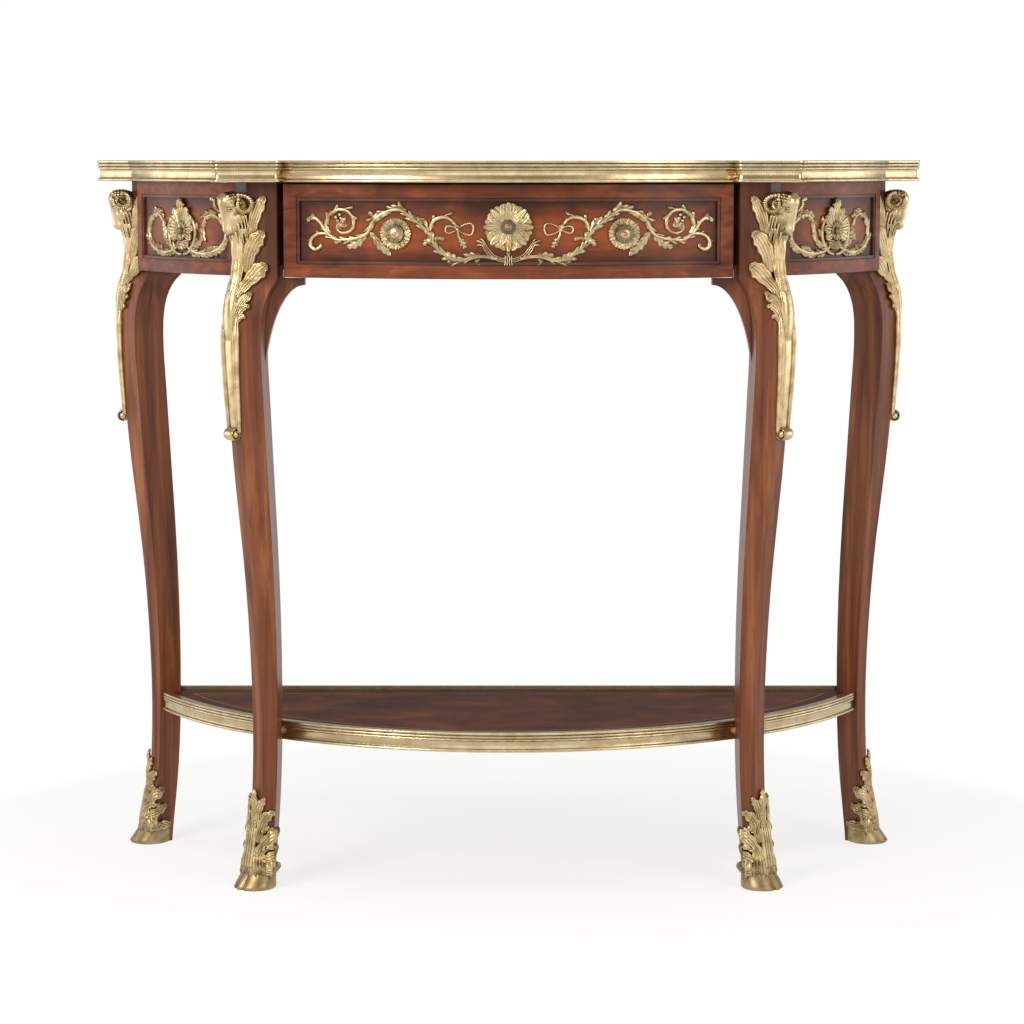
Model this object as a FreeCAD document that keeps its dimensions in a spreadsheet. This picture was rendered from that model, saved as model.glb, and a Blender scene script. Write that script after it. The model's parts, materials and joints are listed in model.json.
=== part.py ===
"""Demilune console table: bow-fronted top, apron with one drawer, four corner-on cabriole legs, low shelf.

Millimetres, +Z up, front towards -Y. The origin is on the floor under the middle of the top.
Depths are given as a reach: the distance forward from the straight back edge of the top.
"""

import FreeCAD
import Part
import math
import os

Vector = FreeCAD.Vector
Rotation = FreeCAD.Rotation
UP = Vector(0, 0, 1)

doc = FreeCAD.newDocument("demilune_table")
sheet = doc.addObject("Spreadsheet::Sheet", "dims")

SIZES = (
    ("overall_height", 889, "floor to the top of the brass edge"),
    ("top_depth", 428, "back edge to the front of the bow, brass included"),
    ("arc_setback", 110, "centre of the bow, behind the back edge"),
    ("top_thickness", 26, "height of the top and its brass edge"),
    ("band_depth", 11, "thickness of the brass edge moulding"),
    ("apron_height", 113, "height of the apron under the top"),
    ("block_side", 88, "side of the square block over each leg"),
    ("block_round", 12, "radius of the outer corners of a block"),
    ("block_lead", 14, "how far a block stands forward of its post"),
    ("front_bearing", 36.5, "post face of a front leg, in degrees from straight ahead, seen from the bow's centre"),
    ("front_leg_angle", 51, "direction of a front leg, in degrees from straight ahead"),
    ("front_post_stand", 13.5, "post face of a front leg, forward of the edge of the bow"),
    ("rear_post_inset", 21.3, "post face of a rear leg, in from the edge of the bow"),
    ("rear_post_reach", 80, "middle of a rear leg, from the back edge"),
    ("post_side", 52, "side of the square post at the top of a leg"),
    ("leg_length", 750, "leg under the apron that the levels and drops of its sections are drawn for"),
    ("neck_drop", 8, "leg section just under the post, below the apron"),
    ("neck_lean", -27.25, "middle of that section, outward from the post face"),
    ("neck_half", 31.25, "half of that section, along its diagonal"),
    ("shoulder_drop", 22, "leg section over the knee, below the apron"),
    ("shoulder_lean", -18.75, "middle of that section"),
    ("shoulder_half", 28.75, "half of that section"),
    ("knee_drop", 44, "leg section at the knee, below the apron"),
    ("knee_lean", -12, "middle of the knee, outward from the post face"),
    ("knee_half", 27.5, "half of the knee"),
    ("thigh_drop", 100, "leg section below the knee, below the apron"),
    ("thigh_lean", -9.5, "middle of that section"),
    ("thigh_half", 27, "half of that section"),
    ("hock_drop", 165, "leg section over the calf, below the apron"),
    ("hock_lean", -13.5, "middle of that section"),
    ("hock_half", 26.5, "half of that section"),
    ("calf_drop", 231, "leg section at the calf, below the apron"),
    ("calf_lean", -18, "middle of the calf"),
    ("calf_half", 25.5, "half of the calf"),
    ("gaskin_drop", 335, "leg section under the calf, below the apron"),
    ("gaskin_lean", -26.5, "middle of that section"),
    ("gaskin_half", 22.5, "half of that section"),
    ("shin_level", 311, "leg section at the shin, above the floor"),
    ("shin_lean", -32.5, "middle of the shin"),
    ("shin_half", 20, "half of the shin"),
    ("cannon_level", 228, "leg section under the shin, above the floor"),
    ("cannon_lean", -34.5, "middle of that section"),
    ("cannon_half", 18.6, "half of that section"),
    ("ankle_level", 166, "thinnest leg section, above the floor"),
    ("ankle_lean", -34, "middle of the ankle"),
    ("ankle_half", 18, "half of the ankle"),
    ("fetlock_level", 110, "leg section under the ankle, above the floor"),
    ("fetlock_lean", -31.5, "middle of that section"),
    ("fetlock_half", 17.8, "half of that section"),
    ("pastern_level", 60, "leg section over the hoof, above the floor"),
    ("pastern_lean", -26.5, "middle of that section"),
    ("pastern_half", 18.4, "half of that section"),
    ("foot_lean", -19.5, "middle of the foot on the floor"),
    ("foot_half", 19.5, "half of the foot"),
    ("bracket_reach", 26, "knee bracket beside a front leg, towards the middle"),
    ("bracket_run", 51, "hollow of a knee bracket, sideways"),
    ("bracket_drop", 148, "height of a knee bracket"),
    ("bracket_lip", 8, "straight end of a knee bracket"),
    ("bracket_ear", 16, "part of a knee bracket that stands beside the drawer"),
    ("bracket_thickness", 22, "knee bracket, front to back"),
    ("side_reveal", 15, "side panels, in from the edge of the top"),
    ("panel_thickness", 24, "thickness of the side panels"),
    ("panel_bite", 10, "how far a side panel runs past the corner of the rear post"),
    ("field_depth", 4, "how deep the panel fields are sunk"),
    ("field_border", 16, "plain border round a sunk field"),
    ("bead_width", 4, "bead round a sunk field"),
    ("bead_drop", 1, "top of the bead below the border"),
    ("rail_inset", 46, "back of the back rail, from the back edge"),
    ("rail_thickness", 20, "thickness of the back rail"),
    ("front_rail_width", 22, "front top rail, front to back"),
    ("front_rail_thickness", 18, "front top rail and kickers, height"),
    ("rail_gap", 4, "front top rail, behind the posts"),
    ("drawer_reveal", 21, "drawer front, back from the front of the top"),
    ("drawer_bow", 610, "radius of the drawer front"),
    ("drawer_gap", 2, "gap round the drawer front"),
    ("drawer_front_thickness", 22, "thickness of the drawer front"),
    ("drawer_wall", 12, "thickness of the drawer sides and back"),
    ("kicker_gap", 2.7, "clearance of the drawer sides under the kickers"),
    ("drawer_bottom_thickness", 6, "thickness of the drawer bottom"),
    ("drawer_bottom_lift", 8, "drawer bottom above the lower edge of the sides"),
    ("groove_depth", 5, "groove in the drawer sides for the bottom"),
    ("drawer_slack", 1, "side clearance of the drawer between its guides"),
    ("slide_gap", 0.3, "clearance under the drawer and at its stops"),
    ("runner_lift", 8, "underside of a runner above the lower edge of the apron"),
    ("runner_thickness", 12, "thickness of a runner"),
    ("runner_ledge", 26, "part of a runner under the drawer side"),
    ("guide_width", 12, "guide on a runner beside the drawer"),
    ("guide_height", 26, "height of that guide over the runner"),
    ("kicker_width", 24, "width of a kicker over a drawer side"),
    ("stop_thickness", 6, "drawer stop, front to back"),
    ("stop_height", 16, "height of a drawer stop"),
    ("stop_length", 40, "length of a drawer stop"),
    ("dowel_diameter", 9, "dowels in the apron and the shelf"),
    ("dowel_length", 26, "length of an apron dowel"),
    ("shelf_dowel_length", 44, "length of a shelf dowel"),
    ("dowel_spread", 54, "distance between the two dowels of a joint"),
    ("glue_block_size", 26, "glue blocks under the top"),
    ("screw_diameter", 4, "screws through the glue blocks"),
    ("screw_head_diameter", 8, "heads of those screws"),
    ("screw_head_height", 3, "height of those heads"),
    ("screw_bite", 14, "how far a screw goes into the top"),
    ("shelf_level", 203.5, "top of the brass rim of the shelf"),
    ("shelf_inset", 15.4, "edge of the shelf, in from the middle of a front ankle"),
    ("notch_gap", 0.3, "clearance of the shelf round a leg"),
    ("shelf_setback", 62, "back edge of the shelf, from the back edge of the top"),
    ("shelf_thickness", 16, "thickness of the shelf board"),
    ("shelf_rim", 4.5, "brass rim over the surface of the shelf"),
    ("shelf_band_height", 24, "height of the brass edge of the shelf"),
    ("back_strip_depth", 5, "thickness of the brass strip at the back of the shelf"),
    ("casting_sink", 2, "how far a casting runs into the wood before it is cut to it"),
    ("head_height", 56, "ram's head, top to chin"),
    ("head_top", 10, "top of the ram's head, below the top"),
    ("head_reach", 42, "brow of the ram's head, out from the post"),
    ("head_width", 30, "ram's head between the horns"),
    ("horn_ring", 9, "radius of the ring of a horn"),
    ("horn_thickness", 9, "thickness of a horn"),
    ("leaf_thickness", 6, "acanthus leaf behind the head"),
    ("leaf_width", 24, "width of that leaf"),
    ("leaf_height", 92, "height of that leaf"),
    ("chute_drop", 190, "lower end of the chute, below the apron"),
    ("chute_width", 38, "chute over the knee"),
    ("chute_stand", 22, "chute over the corner of the knee"),
    ("scroll_radius", 8, "scroll at the lower end of the chute"),
    ("scroll_width", 14, "width of that scroll"),
    ("hoof_height", 24, "height of the hoof"),
    ("hoof_toe", 11, "toe of the hoof, outward from the post face"),
    ("hoof_heel", -26, "heel of the hoof"),
    ("hoof_width", 33, "width of the hoof"),
    ("sabot_height", 122, "tip of the sabot leaf above the floor"),
    ("sabot_wall", 4, "sabot over the wood"),
    ("mount_relief", 6, "thickness of the drawer and side mounts"),
    ("mount_field_half", 35.5, "half height of the clear field that the drawer mounts are drawn for"),
    ("mount_field_reach", 249.2, "half width of that field"),
    ("stem_width", 6, "width of the scrolling stems"),
    ("rosette_radius", 30, "rosette in the middle of the drawer"),
    ("rosette_petals", 8, "petals of the rosette"),
    ("rosette_relief", 10, "rosette over the sunk field"),
    ("button_radius", 8, "button of the rosette"),
    ("spray_reach", 199, "middle of the end scroll of a spray"),
    ("scroll_ring", 17, "end scroll of a spray"),
    ("arch_middle", 130, "middle of the arch of a spray"),
    ("arch_radius", 36, "arch of a spray over its flower"),
    ("flower_radius", 15, "flower under the arch"),
    ("garland_middle", 52, "middle of the garland beside the rosette"),
    ("garland_radius", 44, "garland beside the rosette"),
    ("shell_field_half", 36.5, "half height of the clear field that a shell mount is drawn for"),
    ("shell_field_reach", 98, "half width of that field"),
    ("shell_height", 60, "shell mount of a side panel"),
    ("shell_width", 34, "width of that shell"),
    ("loop_radius", 15, "scroll beside the shell"),
    ("pin_diameter", 1.6, "pins of the drawer mounts"),
    ("pin_length", 12, "length of those pins"),
)

for row, (alias, value, meaning) in enumerate(SIZES, start=1):
    sheet.set(f"A{row}", meaning)
    sheet.set(f"B{row}", str(value))
    sheet.setAlias(f"B{row}", alias)
doc.recompute()

D = {alias: float(getattr(sheet, alias)) for alias, value, meaning in SIZES}
SIDES = (("left", -1), ("right", 1))
QUARTER = 45.0
HALF_ROOT = math.sqrt(0.5)

# Levels and radii that follow from the driving sizes
BACK = "dims.top_depth / 2"
UNDER_TOP = "dims.overall_height - dims.top_thickness"
APRON = f"{UNDER_TOP} - dims.apron_height"
TOP_RADIUS = "dims.top_depth + dims.arc_setback"
FRONT_X = f"({TOP_RADIUS}) * sin(dims.front_bearing)"
FRONT_REACH = f"({TOP_RADIUS}) * cos(dims.front_bearing) - dims.arc_setback + dims.front_post_stand"
REAR_X = f"sqrt(({TOP_RADIUS})^2 - (dims.rear_post_reach + dims.arc_setback)^2) - dims.rear_post_inset"
CANT = f"dims.post_side * {HALF_ROOT - 0.5}"
FRONT_SIN = math.sin(math.radians(D["front_leg_angle"]))
FRONT_COS = math.cos(math.radians(D["front_leg_angle"]))
POST_SPAN = HALF_ROOT * max(FRONT_SIN, FRONT_COS)
BAY = f"{FRONT_X} - dims.post_side * {0.5 * FRONT_SIN + POST_SPAN}"

back_y = D["top_depth"] / 2
arc_y = back_y + D["arc_setback"]
under_top = D["overall_height"] - D["top_thickness"]
apron_level = under_top - D["apron_height"]
top_radius = D["top_depth"] + D["arc_setback"]
front_post_x = top_radius * math.sin(math.radians(D["front_bearing"]))
front_post_reach = top_radius * math.cos(math.radians(D["front_bearing"])) - D["arc_setback"] + D["front_post_stand"]
rear_post_x = math.sqrt(top_radius ** 2 - (D["rear_post_reach"] + D["arc_setback"]) ** 2) - D["rear_post_inset"]
bay_half = front_post_x - D["post_side"] * (0.5 * FRONT_SIN + POST_SPAN)
post_centre = D["post_side"] / 2
drawer_centre_y = back_y - D["top_depth"] + D["drawer_reveal"] + D["drawer_bow"]
far = 2 * top_radius

nodes = []


def reach_y(reach):
    """Expression of the Y of a given reach."""
    return f"{BACK} - ({reach})"


def bind(obj, **values):
    """Set the properties of an object from numbers or from expressions on the sheet."""
    for name, value in values.items():
        if isinstance(value, str):
            obj.setExpression(name, value)
        else:
            setattr(obj, name, value)
    return obj


def place(obj, x=0, y=0, z=0, turn=0):
    """Place an object, turned about Z, from numbers or expressions."""
    obj.Placement = FreeCAD.Placement(Vector(0, 0, 0), Rotation(UP, 0 if isinstance(turn, str) else turn))
    for axis, value in (("x", x), ("y", y), ("z", z)):
        obj.setExpression(f"Placement.Base.{axis}", str(value))
    return obj


def box(name, length, width, height, x, y, z, turn=0):
    """A block whose lowest corner is at x, y, z."""
    obj = doc.addObject("Part::Box", name)
    return place(bind(obj, Length=length, Width=width, Height=height), x, y, z, turn)


def drum(name, radius, height, x, y, z, start=0.0, sweep=360.0):
    """An upright cylinder, or a sector of one."""
    obj = doc.addObject("Part::Cylinder", name)
    return place(bind(obj, Radius=radius, Height=height, Angle=sweep), x, y, z, start)


def cut(name, base, tool):
    """The first object less the second."""
    obj = doc.addObject("Part::Cut", name)
    obj.Base = base
    obj.Tool = tool
    return obj


def common(name, base, tool):
    """What two objects share."""
    obj = doc.addObject("Part::Common", name)
    obj.Base = base
    obj.Tool = tool
    return obj


def fuse(name, pieces):
    """Several objects as one solid."""
    obj = doc.addObject("Part::MultiFuse", name)
    obj.Shapes = list(pieces)
    obj.Refine = True
    return obj


def group(name, pieces):
    """Several objects kept as separate solids."""
    obj = doc.addObject("Part::Compound", name)
    obj.Links = list(pieces)
    return obj


def solid(name, shape):
    """An object that holds a shape worked out here from the sheet."""
    obj = doc.addObject("Part::Feature", name)
    obj.Shape = shape
    return obj


def main_solid(name, obj):
    """The largest solid of an object, without the slivers that a cut leaves."""
    doc.recompute()
    return solid(name, max(obj.Shape.Solids, key=lambda piece: piece.Volume))


def node(obj, label):
    """Name an object as one piece of the table."""
    obj.Label = label
    nodes.append(obj)
    return obj


def octagon(centre_u, half_u, half_w, level):
    """Closed outline with eight corners, for lofts of cast pieces."""
    points = []
    for step in range(8):
        angle = math.radians(22.5 + 45 * step)
        points.append(Vector(centre_u + half_u * math.cos(angle), half_w * math.sin(angle), level))
    return Part.makePolygon(points + points[:1])


# Legs: one pattern in its own frame, X outward from the post face
FLOOR_SECTIONS = ("pastern", "fetlock", "ankle", "cannon", "shin")
APRON_SECTIONS = ("gaskin", "calf", "hock", "thigh", "knee", "shoulder", "neck")
LEG_FIT = f"({APRON}) / dims.leg_length"
LEG_SECTIONS = [("0", "dims.foot_lean", "dims.foot_half")]
for part_name in FLOOR_SECTIONS:
    LEG_SECTIONS.append((f"dims.{part_name}_level * {LEG_FIT}", f"dims.{part_name}_lean", f"dims.{part_name}_half"))
for part_name in APRON_SECTIONS:
    LEG_SECTIONS.append((f"{APRON} - dims.{part_name}_drop * {LEG_FIT}", f"dims.{part_name}_lean",
                         f"dims.{part_name}_half"))
POST_HALF = f"dims.post_side * {0.25 + 0.5 * HALF_ROOT}"
LEG_SECTIONS.append((APRON, f"-({POST_HALF})", POST_HALF))


def square(name, half):
    """Square outline with its corners on the axes, from half its diagonal."""
    outline = doc.addObject("Part::RegularPolygon", name)
    outline.Polygon = 4
    return bind(outline, Circumradius=half)


def loft(name, sections):
    """Smooth solid through outlines."""
    obj = doc.addObject("Part::Loft", name)
    obj.Sections = sections
    obj.Solid = True
    obj.MaxDegree = 3
    return obj


def leg_pattern():
    """Cabriole leg with its post: square, corner outward, that corner cut off flat from top to floor."""
    side = "dims.post_side"
    squares, faces = [], []
    for number, (level, lean, half) in enumerate(LEG_SECTIONS):
        outline = square(f"leg_section_{number}", f"{half} + ({CANT}) / 2")
        squares.append(place(outline, f"{lean} + ({CANT}) / 2", 0, level))
        outline = square(f"leg_face_{number}", f"2 * {side}")
        faces.append(place(outline, f"{lean} + {half} - {2 * HALF_ROOT} * {side}", 0, level, QUARTER))
    shaft = common("leg_shaft", loft("leg_square", squares), loft("leg_canted", faces))
    post = box("post_square", side, side, "dims.apron_height", f"-{side} * {0.5 + HALF_ROOT}", 0, APRON, -QUARTER)
    face = box("post_face", f"2 * {side}", f"2 * {side}", "dims.apron_height", f"-2 * {side}", f"-{side}", APRON)
    return fuse("leg_pattern", [shaft, common("post", post, face)])


leg = leg_pattern()
doc.recompute()

LEGS = {}
for side_name, sign in SIDES:
    LEGS[f"front_{side_name}"] = (
        f"{sign} * ({FRONT_X})", reach_y(FRONT_REACH), -90.0 + sign * D["front_leg_angle"])
    LEGS[f"rear_{side_name}"] = (
        f"{sign} * ({REAR_X})", reach_y("dims.rear_post_reach"), -90.0 + sign * 90.0)


def stand_leg_piece(name, pattern, corner):
    """A copy of a pattern at one of the four corners."""
    x, y, turn = LEGS[corner]
    return place(group(name, [pattern]), x, y, 0, turn)


blank_legs = {corner: stand_leg_piece(f"blank_{corner}", leg, corner) for corner in LEGS}
all_legs = group("all_legs", blank_legs.values())


def section_values():
    """Level, lean and half diagonal of each leg section, as numbers."""
    level = {"foot": 0.0}
    fit = apron_level / D["leg_length"]
    for name in FLOOR_SECTIONS:
        level[name] = D[f"{name}_level"] * fit
    for name in APRON_SECTIONS:
        level[name] = apron_level - D[f"{name}_drop"] * fit
    return sorted((height, D[f"{name}_lean"], D[f"{name}_half"]) for name, height in level.items())


def corner_of_leg(level):
    """How far the outer corner of the leg stands out at a level."""
    rows = section_values()
    for (low, lean_a, half_a), (high, lean_b, half_b) in zip(rows, rows[1:]):
        if low <= level <= high:
            share = (level - low) / (high - low)
            return (lean_a + half_a) * (1 - share) + (lean_b + half_b) * share
    return rows[-1][1] + rows[-1][2]


# Dowels of the apron and of the shelf
post_x = front_post_x - post_centre * FRONT_SIN
post_reach = front_post_reach - post_centre * FRONT_COS
post_span = D["post_side"] * POST_SPAN
rear_x = rear_post_x - post_centre
post_diagonal = D["post_side"] * HALF_ROOT
side_radius = top_radius - D["side_reveal"]
side_middle = side_radius - D["panel_thickness"] / 2


def rod(start, direction, length, diameter):
    """A round pin from a point along a direction."""
    return Part.makeCylinder(diameter / 2, length, start, direction)


def apron_dowel_shapes():
    """Two dowels across each joint of the side panels and of the back rail."""
    shapes = []
    middle = apron_level + D["apron_height"] / 2
    length = D["dowel_length"]
    front_face = post_reach - post_span
    front_x = math.sqrt(side_middle ** 2 - (front_face + D["arc_setback"]) ** 2)
    rear_corner = D["rear_post_reach"] + post_diagonal
    rail_reach = D["rail_inset"] + D["rail_thickness"] / 2
    rail_x = rear_x - post_diagonal + abs(D["rear_post_reach"] - rail_reach)
    for _, sign in SIDES:
        for step in (-0.5, 0.5):
            level = middle + step * D["dowel_spread"]
            for x, reach in ((front_x, front_face), (rear_x, rear_corner)):
                start = Vector(sign * x, back_y - reach + length / 2, level)
                shapes.append(rod(start, Vector(0, -1, 0), length, D["dowel_diameter"]))
            start = Vector(sign * (rail_x - length / 2), back_y - rail_reach, level)
            shapes.append(rod(start, Vector(sign, 0, 0), length, D["dowel_diameter"]))
    return shapes


def shelf_dowel_shapes():
    """One dowel from each leg into the edge of the shelf."""
    shapes = []
    level = D["shelf_level"] - D["shelf_rim"] - D["shelf_thickness"] / 2
    for corner, (x, y, turn) in LEGS.items():
        placing = blank_legs[corner].Placement
        start = placing.multVec(Vector(D["ankle_lean"], 0, level))
        inward = placing.Rotation.multVec(Vector(-1, 0, 0))
        shapes.append(rod(start, inward, D["shelf_dowel_length"], D["dowel_diameter"]))
    return shapes


doc.recompute()
apron_dowels = node(solid("apron_dowels", Part.makeCompound(apron_dowel_shapes())), "apron_dowels")
shelf_dowels = node(solid("shelf_dowels", Part.makeCompound(shelf_dowel_shapes())), "shelf_dowels")
all_dowels = group("all_dowels", [apron_dowels, shelf_dowels])

for corner, blank in blank_legs.items():
    node(cut(f"drilled_{corner}", blank, all_dowels), f"leg_{corner}")

# Knee brackets beside the front legs
for side_name, sign in SIDES:
    inner = bay_half - D["bracket_reach"]
    outer = bay_half + D["post_side"] / 2
    low = apron_level - D["bracket_drop"]
    high = apron_level - D["drawer_gap"]
    lip = high - D["bracket_lip"]
    back = back_y - post_reach + D["bracket_thickness"] / 2
    block = Part.makeBox(outer - inner, D["bracket_thickness"], high - low,
                         Vector(min(sign * inner, sign * outer), back - D["bracket_thickness"], low))
    ear = Part.makeBox(outer - bay_half, D["bracket_thickness"], D["bracket_ear"] + D["bracket_lip"],
                       Vector(min(sign * bay_half, sign * outer), back - D["bracket_thickness"], lip))
    block = block.fuse(ear).removeSplitter()
    hollow = Part.makeCylinder(1.0, 3 * D["bracket_thickness"], Vector(0, -D["bracket_thickness"], 0), Vector(0, 1, 0))
    stretch = FreeCAD.Matrix()
    stretch.scale(D["bracket_run"], 1.0, lip - low)
    hollow = hollow.transformGeometry(stretch)
    hollow.translate(Vector(sign * inner, back - D["bracket_thickness"], low))
    blank = block.cut(hollow)
    fitted = cut(f"bracket_{side_name}", solid(f"bracket_blank_{side_name}", blank), all_legs)
    node(main_solid(f"bracket_whole_{side_name}", fitted), f"knee_bracket_{side_name}")


# Top panel and the brass moulding round it
block_reach = front_post_reach - (post_centre - D["block_lead"]) * HALF_ROOT
block_x = front_post_x - (post_centre - D["block_lead"]) * HALF_ROOT
rear_block_x = rear_x + D["block_lead"]
block_half = D["block_side"] / 2
tip_x = rear_block_x + D["block_side"] * HALF_ROOT


def top_panel():
    """Board of the top, inside its brass edge."""
    level, height, band = UNDER_TOP, "dims.top_thickness", "dims.band_depth"
    disc = drum("top_disc", f"{TOP_RADIUS} - {band}", height, 0, reach_y("-dims.arc_setback"), level)
    half = box("top_half", far, far, height, -far / 2, f"{BACK} - {far}", level)
    pieces = [common("top_bow", disc, half)]
    square = f"dims.block_side - 2 * {band}"
    for side_name, sign in SIDES:
        corner = box(f"top_corner_{side_name}", far, far, height,
                     sign * (tip_x - D["rear_post_reach"]) - sign * D["band_depth"] / HALF_ROOT,
                     BACK, level, -45.0 if sign > 0 else -135.0)
        if sign < 0:
            corner = box("top_corner_turned", far, far, height,
                         -(tip_x - D["rear_post_reach"]) + D["band_depth"] / HALF_ROOT,
                         BACK, level, 135.0)
        pieces[0] = cut(f"top_clipped_{side_name}", pieces[0], corner)
        pieces.append(box(f"front_block_{side_name}", square, square, height,
                          sign * block_x - block_half + D["band_depth"],
                          back_y - block_reach - block_half + D["band_depth"], level))
        pieces.append(box(f"rear_block_{side_name}", square, square, height,
                          sign * rear_block_x,
                          back_y - D["rear_post_reach"] - (D["block_side"] - 2 * D["band_depth"]) * HALF_ROOT,
                          level, 45.0))
    return common("top_trimmed", fuse("top_shape", pieces), half)


def band_outline(height):
    """Section of the brass moulding: X outward from the board, Z up."""
    depth = D["band_depth"]
    unit = height / 26.0

    def at(inset, level):
        return Vector(depth - inset * unit, 0, level * unit)

    edges = []
    last = Vector(0, 0, 0)

    def line(point):
        nonlocal last
        edges.append(Part.makeLine(last, point))
        last = point

    def curve(through, point):
        nonlocal last
        edges.append(Part.Arc(last, through, point).toShape())
        last = point

    line(at(2.5, 0))
    curve(at(0.5, 2), at(2.5, 4))
    line(at(3.6, 4.6))
    curve(at(4.2, 9.3), at(3.4, 14))
    line(at(2.8, 14.6))
    curve(at(1.0, 16.4), at(2.6, 18.2))
    line(at(2.2, 18.6))
    curve(at(0.4, 20.4), at(2.0, 22.2))
    line(at(1.4, 22.8))
    line(at(0, 23.4))
    line(at(0, 25.4))
    line(at(0.6, 26))
    line(Vector(0, 0, height))
    line(Vector(0, 0, 0))
    return Part.Face(Part.Wire(edges))


def ring_band(radius, height, level, start, sweep):
    """Moulding along the bow, between two directions seen from the bow's centre."""
    face = band_outline(height)
    face.translate(Vector(radius - D["band_depth"], 0, 0))
    shape = face.revolve(Vector(0, 0, 0), UP, sweep)
    shape.rotate(Vector(0, 0, 0), UP, start)
    shape.translate(Vector(0, arc_y, level))
    return shape


def straight_band(start, end, outward, height, level):
    """Straight length of moulding between two points in plan."""
    face = band_outline(height)
    angle = math.degrees(math.atan2(outward.y, outward.x))
    face.rotate(Vector(0, 0, 0), UP, angle)
    face.translate(start - outward * D["band_depth"] + UP * level)
    return face.extrude(end - start)


def corner_band(centre, from_angle, height, level):
    """Moulding round the rounded corner of a block, a quarter turn."""
    face = band_outline(height)
    face.translate(Vector(D["block_round"] - D["band_depth"], 0, 0))
    shape = face.revolve(Vector(0, 0, 0), UP, 90)
    shape.rotate(Vector(0, 0, 0), UP, from_angle)
    shape.translate(centre + UP * level)
    return shape


def beyond(point, along, towards):
    """Thick slab on one side of the upright plane through a point."""
    slab = Part.makeBox(far, far, 3 * D["top_thickness"], Vector(-far / 2, 0, -D["top_thickness"]))
    angle = math.degrees(math.atan2(along.y, along.x))
    slab.rotate(Vector(0, 0, 0), UP, angle)
    normal = Vector(-along.y, along.x, 0)
    if normal.dot(towards) < 0:
        slab.rotate(Vector(0, 0, 0), UP, 180)
    slab.translate(point + UP * under_top)
    return slab


def bow_point(x):
    """Point of the bow's edge at a distance from the middle."""
    return Vector(x, arc_y - math.sqrt(top_radius ** 2 - x ** 2), 0)


def rear_seam_x():
    """Where the front face of a rear block leaves the bow."""
    total = tip_x + D["rear_post_reach"] + D["arc_setback"]
    return (total + math.sqrt(2 * top_radius ** 2 - total ** 2)) / 2


def mitre(point, block_normal):
    """Direction of the mitre between the bow and a block, outward."""
    bow_normal = Vector(point.x, point.y - arc_y, 0).normalize()
    return (bow_normal + block_normal).normalize()


def bearing(point):
    """Direction of a point from the bow's centre, in degrees."""
    return math.degrees(math.atan2(point.y - arc_y, point.x))


def band_shapes():
    """The seven lengths of brass edge of the top, mitred to each other."""
    height, level, bend = D["top_thickness"], under_top, D["block_round"]
    board = Part.makeCylinder(top_radius - D["band_depth"], height, Vector(0, arc_y, level))
    shapes = {}
    inner = {sign: bow_point(sign * (block_x - block_half)) for _, sign in SIDES}
    outer = {sign: bow_point(sign * (block_x + block_half)) for _, sign in SIDES}
    rear = {sign: bow_point(sign * rear_seam_x()) for _, sign in SIDES}
    start, end = bearing(inner[-1]) - 4, bearing(inner[1]) + 4
    centre = ring_band(top_radius, height, level, start, end - start)
    for side_name, sign in SIDES:
        side = Vector(sign, 0, 0)
        slant = Vector(sign * HALF_ROOT, -HALF_ROOT, 0)
        cut_inner = mitre(inner[sign], -side)
        cut_outer = mitre(outer[sign], side)
        cut_rear = mitre(rear[sign], slant)
        centre = centre.cut(beyond(inner[sign], cut_inner, side))
        low, high = sorted((bearing(outer[sign]), bearing(rear[sign])))
        run = ring_band(top_radius, height, level, low - 4, high - low + 8)
        run = run.cut(beyond(outer[sign], cut_outer, Vector(0, -1, 0)))
        shapes[f"side_{side_name}"] = run.cut(beyond(rear[sign], cut_rear, Vector(0, 1, 0)))
        front_y = back_y - block_reach - block_half
        near_x, away_x = sign * (block_x - block_half), sign * (block_x + block_half)
        rear_y = front_y + 2 * block_half
        block = straight_band(Vector(near_x, rear_y, 0), Vector(near_x, front_y + bend, 0), -side, height, level)
        corners = ((near_x + sign * bend, 180.0 if sign > 0 else 270.0), (away_x - sign * bend, 270.0 if sign > 0 else 180.0))
        pieces = [corner_band(Vector(x, front_y + bend, 0), angle, height, level) for x, angle in corners]
        pieces.append(straight_band(Vector(near_x + sign * bend, front_y, 0),
                                    Vector(away_x - sign * bend, front_y, 0), Vector(0, -1, 0), height, level))
        pieces.append(straight_band(Vector(away_x, front_y + bend, 0), Vector(away_x, rear_y, 0), side, height, level))
        block = block.fuse(pieces).removeSplitter().cut(board)
        block = block.cut(beyond(inner[sign], cut_inner, -side))
        shapes[f"front_{side_name}"] = block.cut(beyond(outer[sign], cut_outer, Vector(0, 1, 0)))
        tip = Vector(sign * tip_x, back_y - D["rear_post_reach"], 0)
        backward = Vector(-sign * HALF_ROOT, HALF_ROOT, 0)
        forward = Vector(-sign * HALF_ROOT, -HALF_ROOT, 0)
        behind = Vector(sign * HALF_ROOT, HALF_ROOT, 0)
        length = D["rear_post_reach"] / HALF_ROOT + D["band_depth"]
        back_run = straight_band(tip + backward * bend, tip + backward * length, behind, height, level)
        turn = corner_band(tip + (backward + forward) * bend, -45.0 if sign > 0 else 135.0, height, level)
        front_run = straight_band(tip + forward * bend, tip + forward * D["block_side"], slant, height, level)
        block = back_run.fuse([turn, front_run]).removeSplitter()
        block = block.cut(beyond(rear[sign], cut_rear, Vector(0, -1, 0)))
        shapes[f"rear_{side_name}"] = block.cut(beyond(Vector(0, back_y, 0), Vector(1, 0, 0), Vector(0, 1, 0)))
    shapes["center"] = centre
    return shapes


top_bands = []
for name, shape in band_shapes().items():
    top_bands.append(node(solid(f"band_{name}", shape), f"top_band_{name}"))
top = cut("top_fitted", top_panel(), group("top_bands", top_bands))

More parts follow.
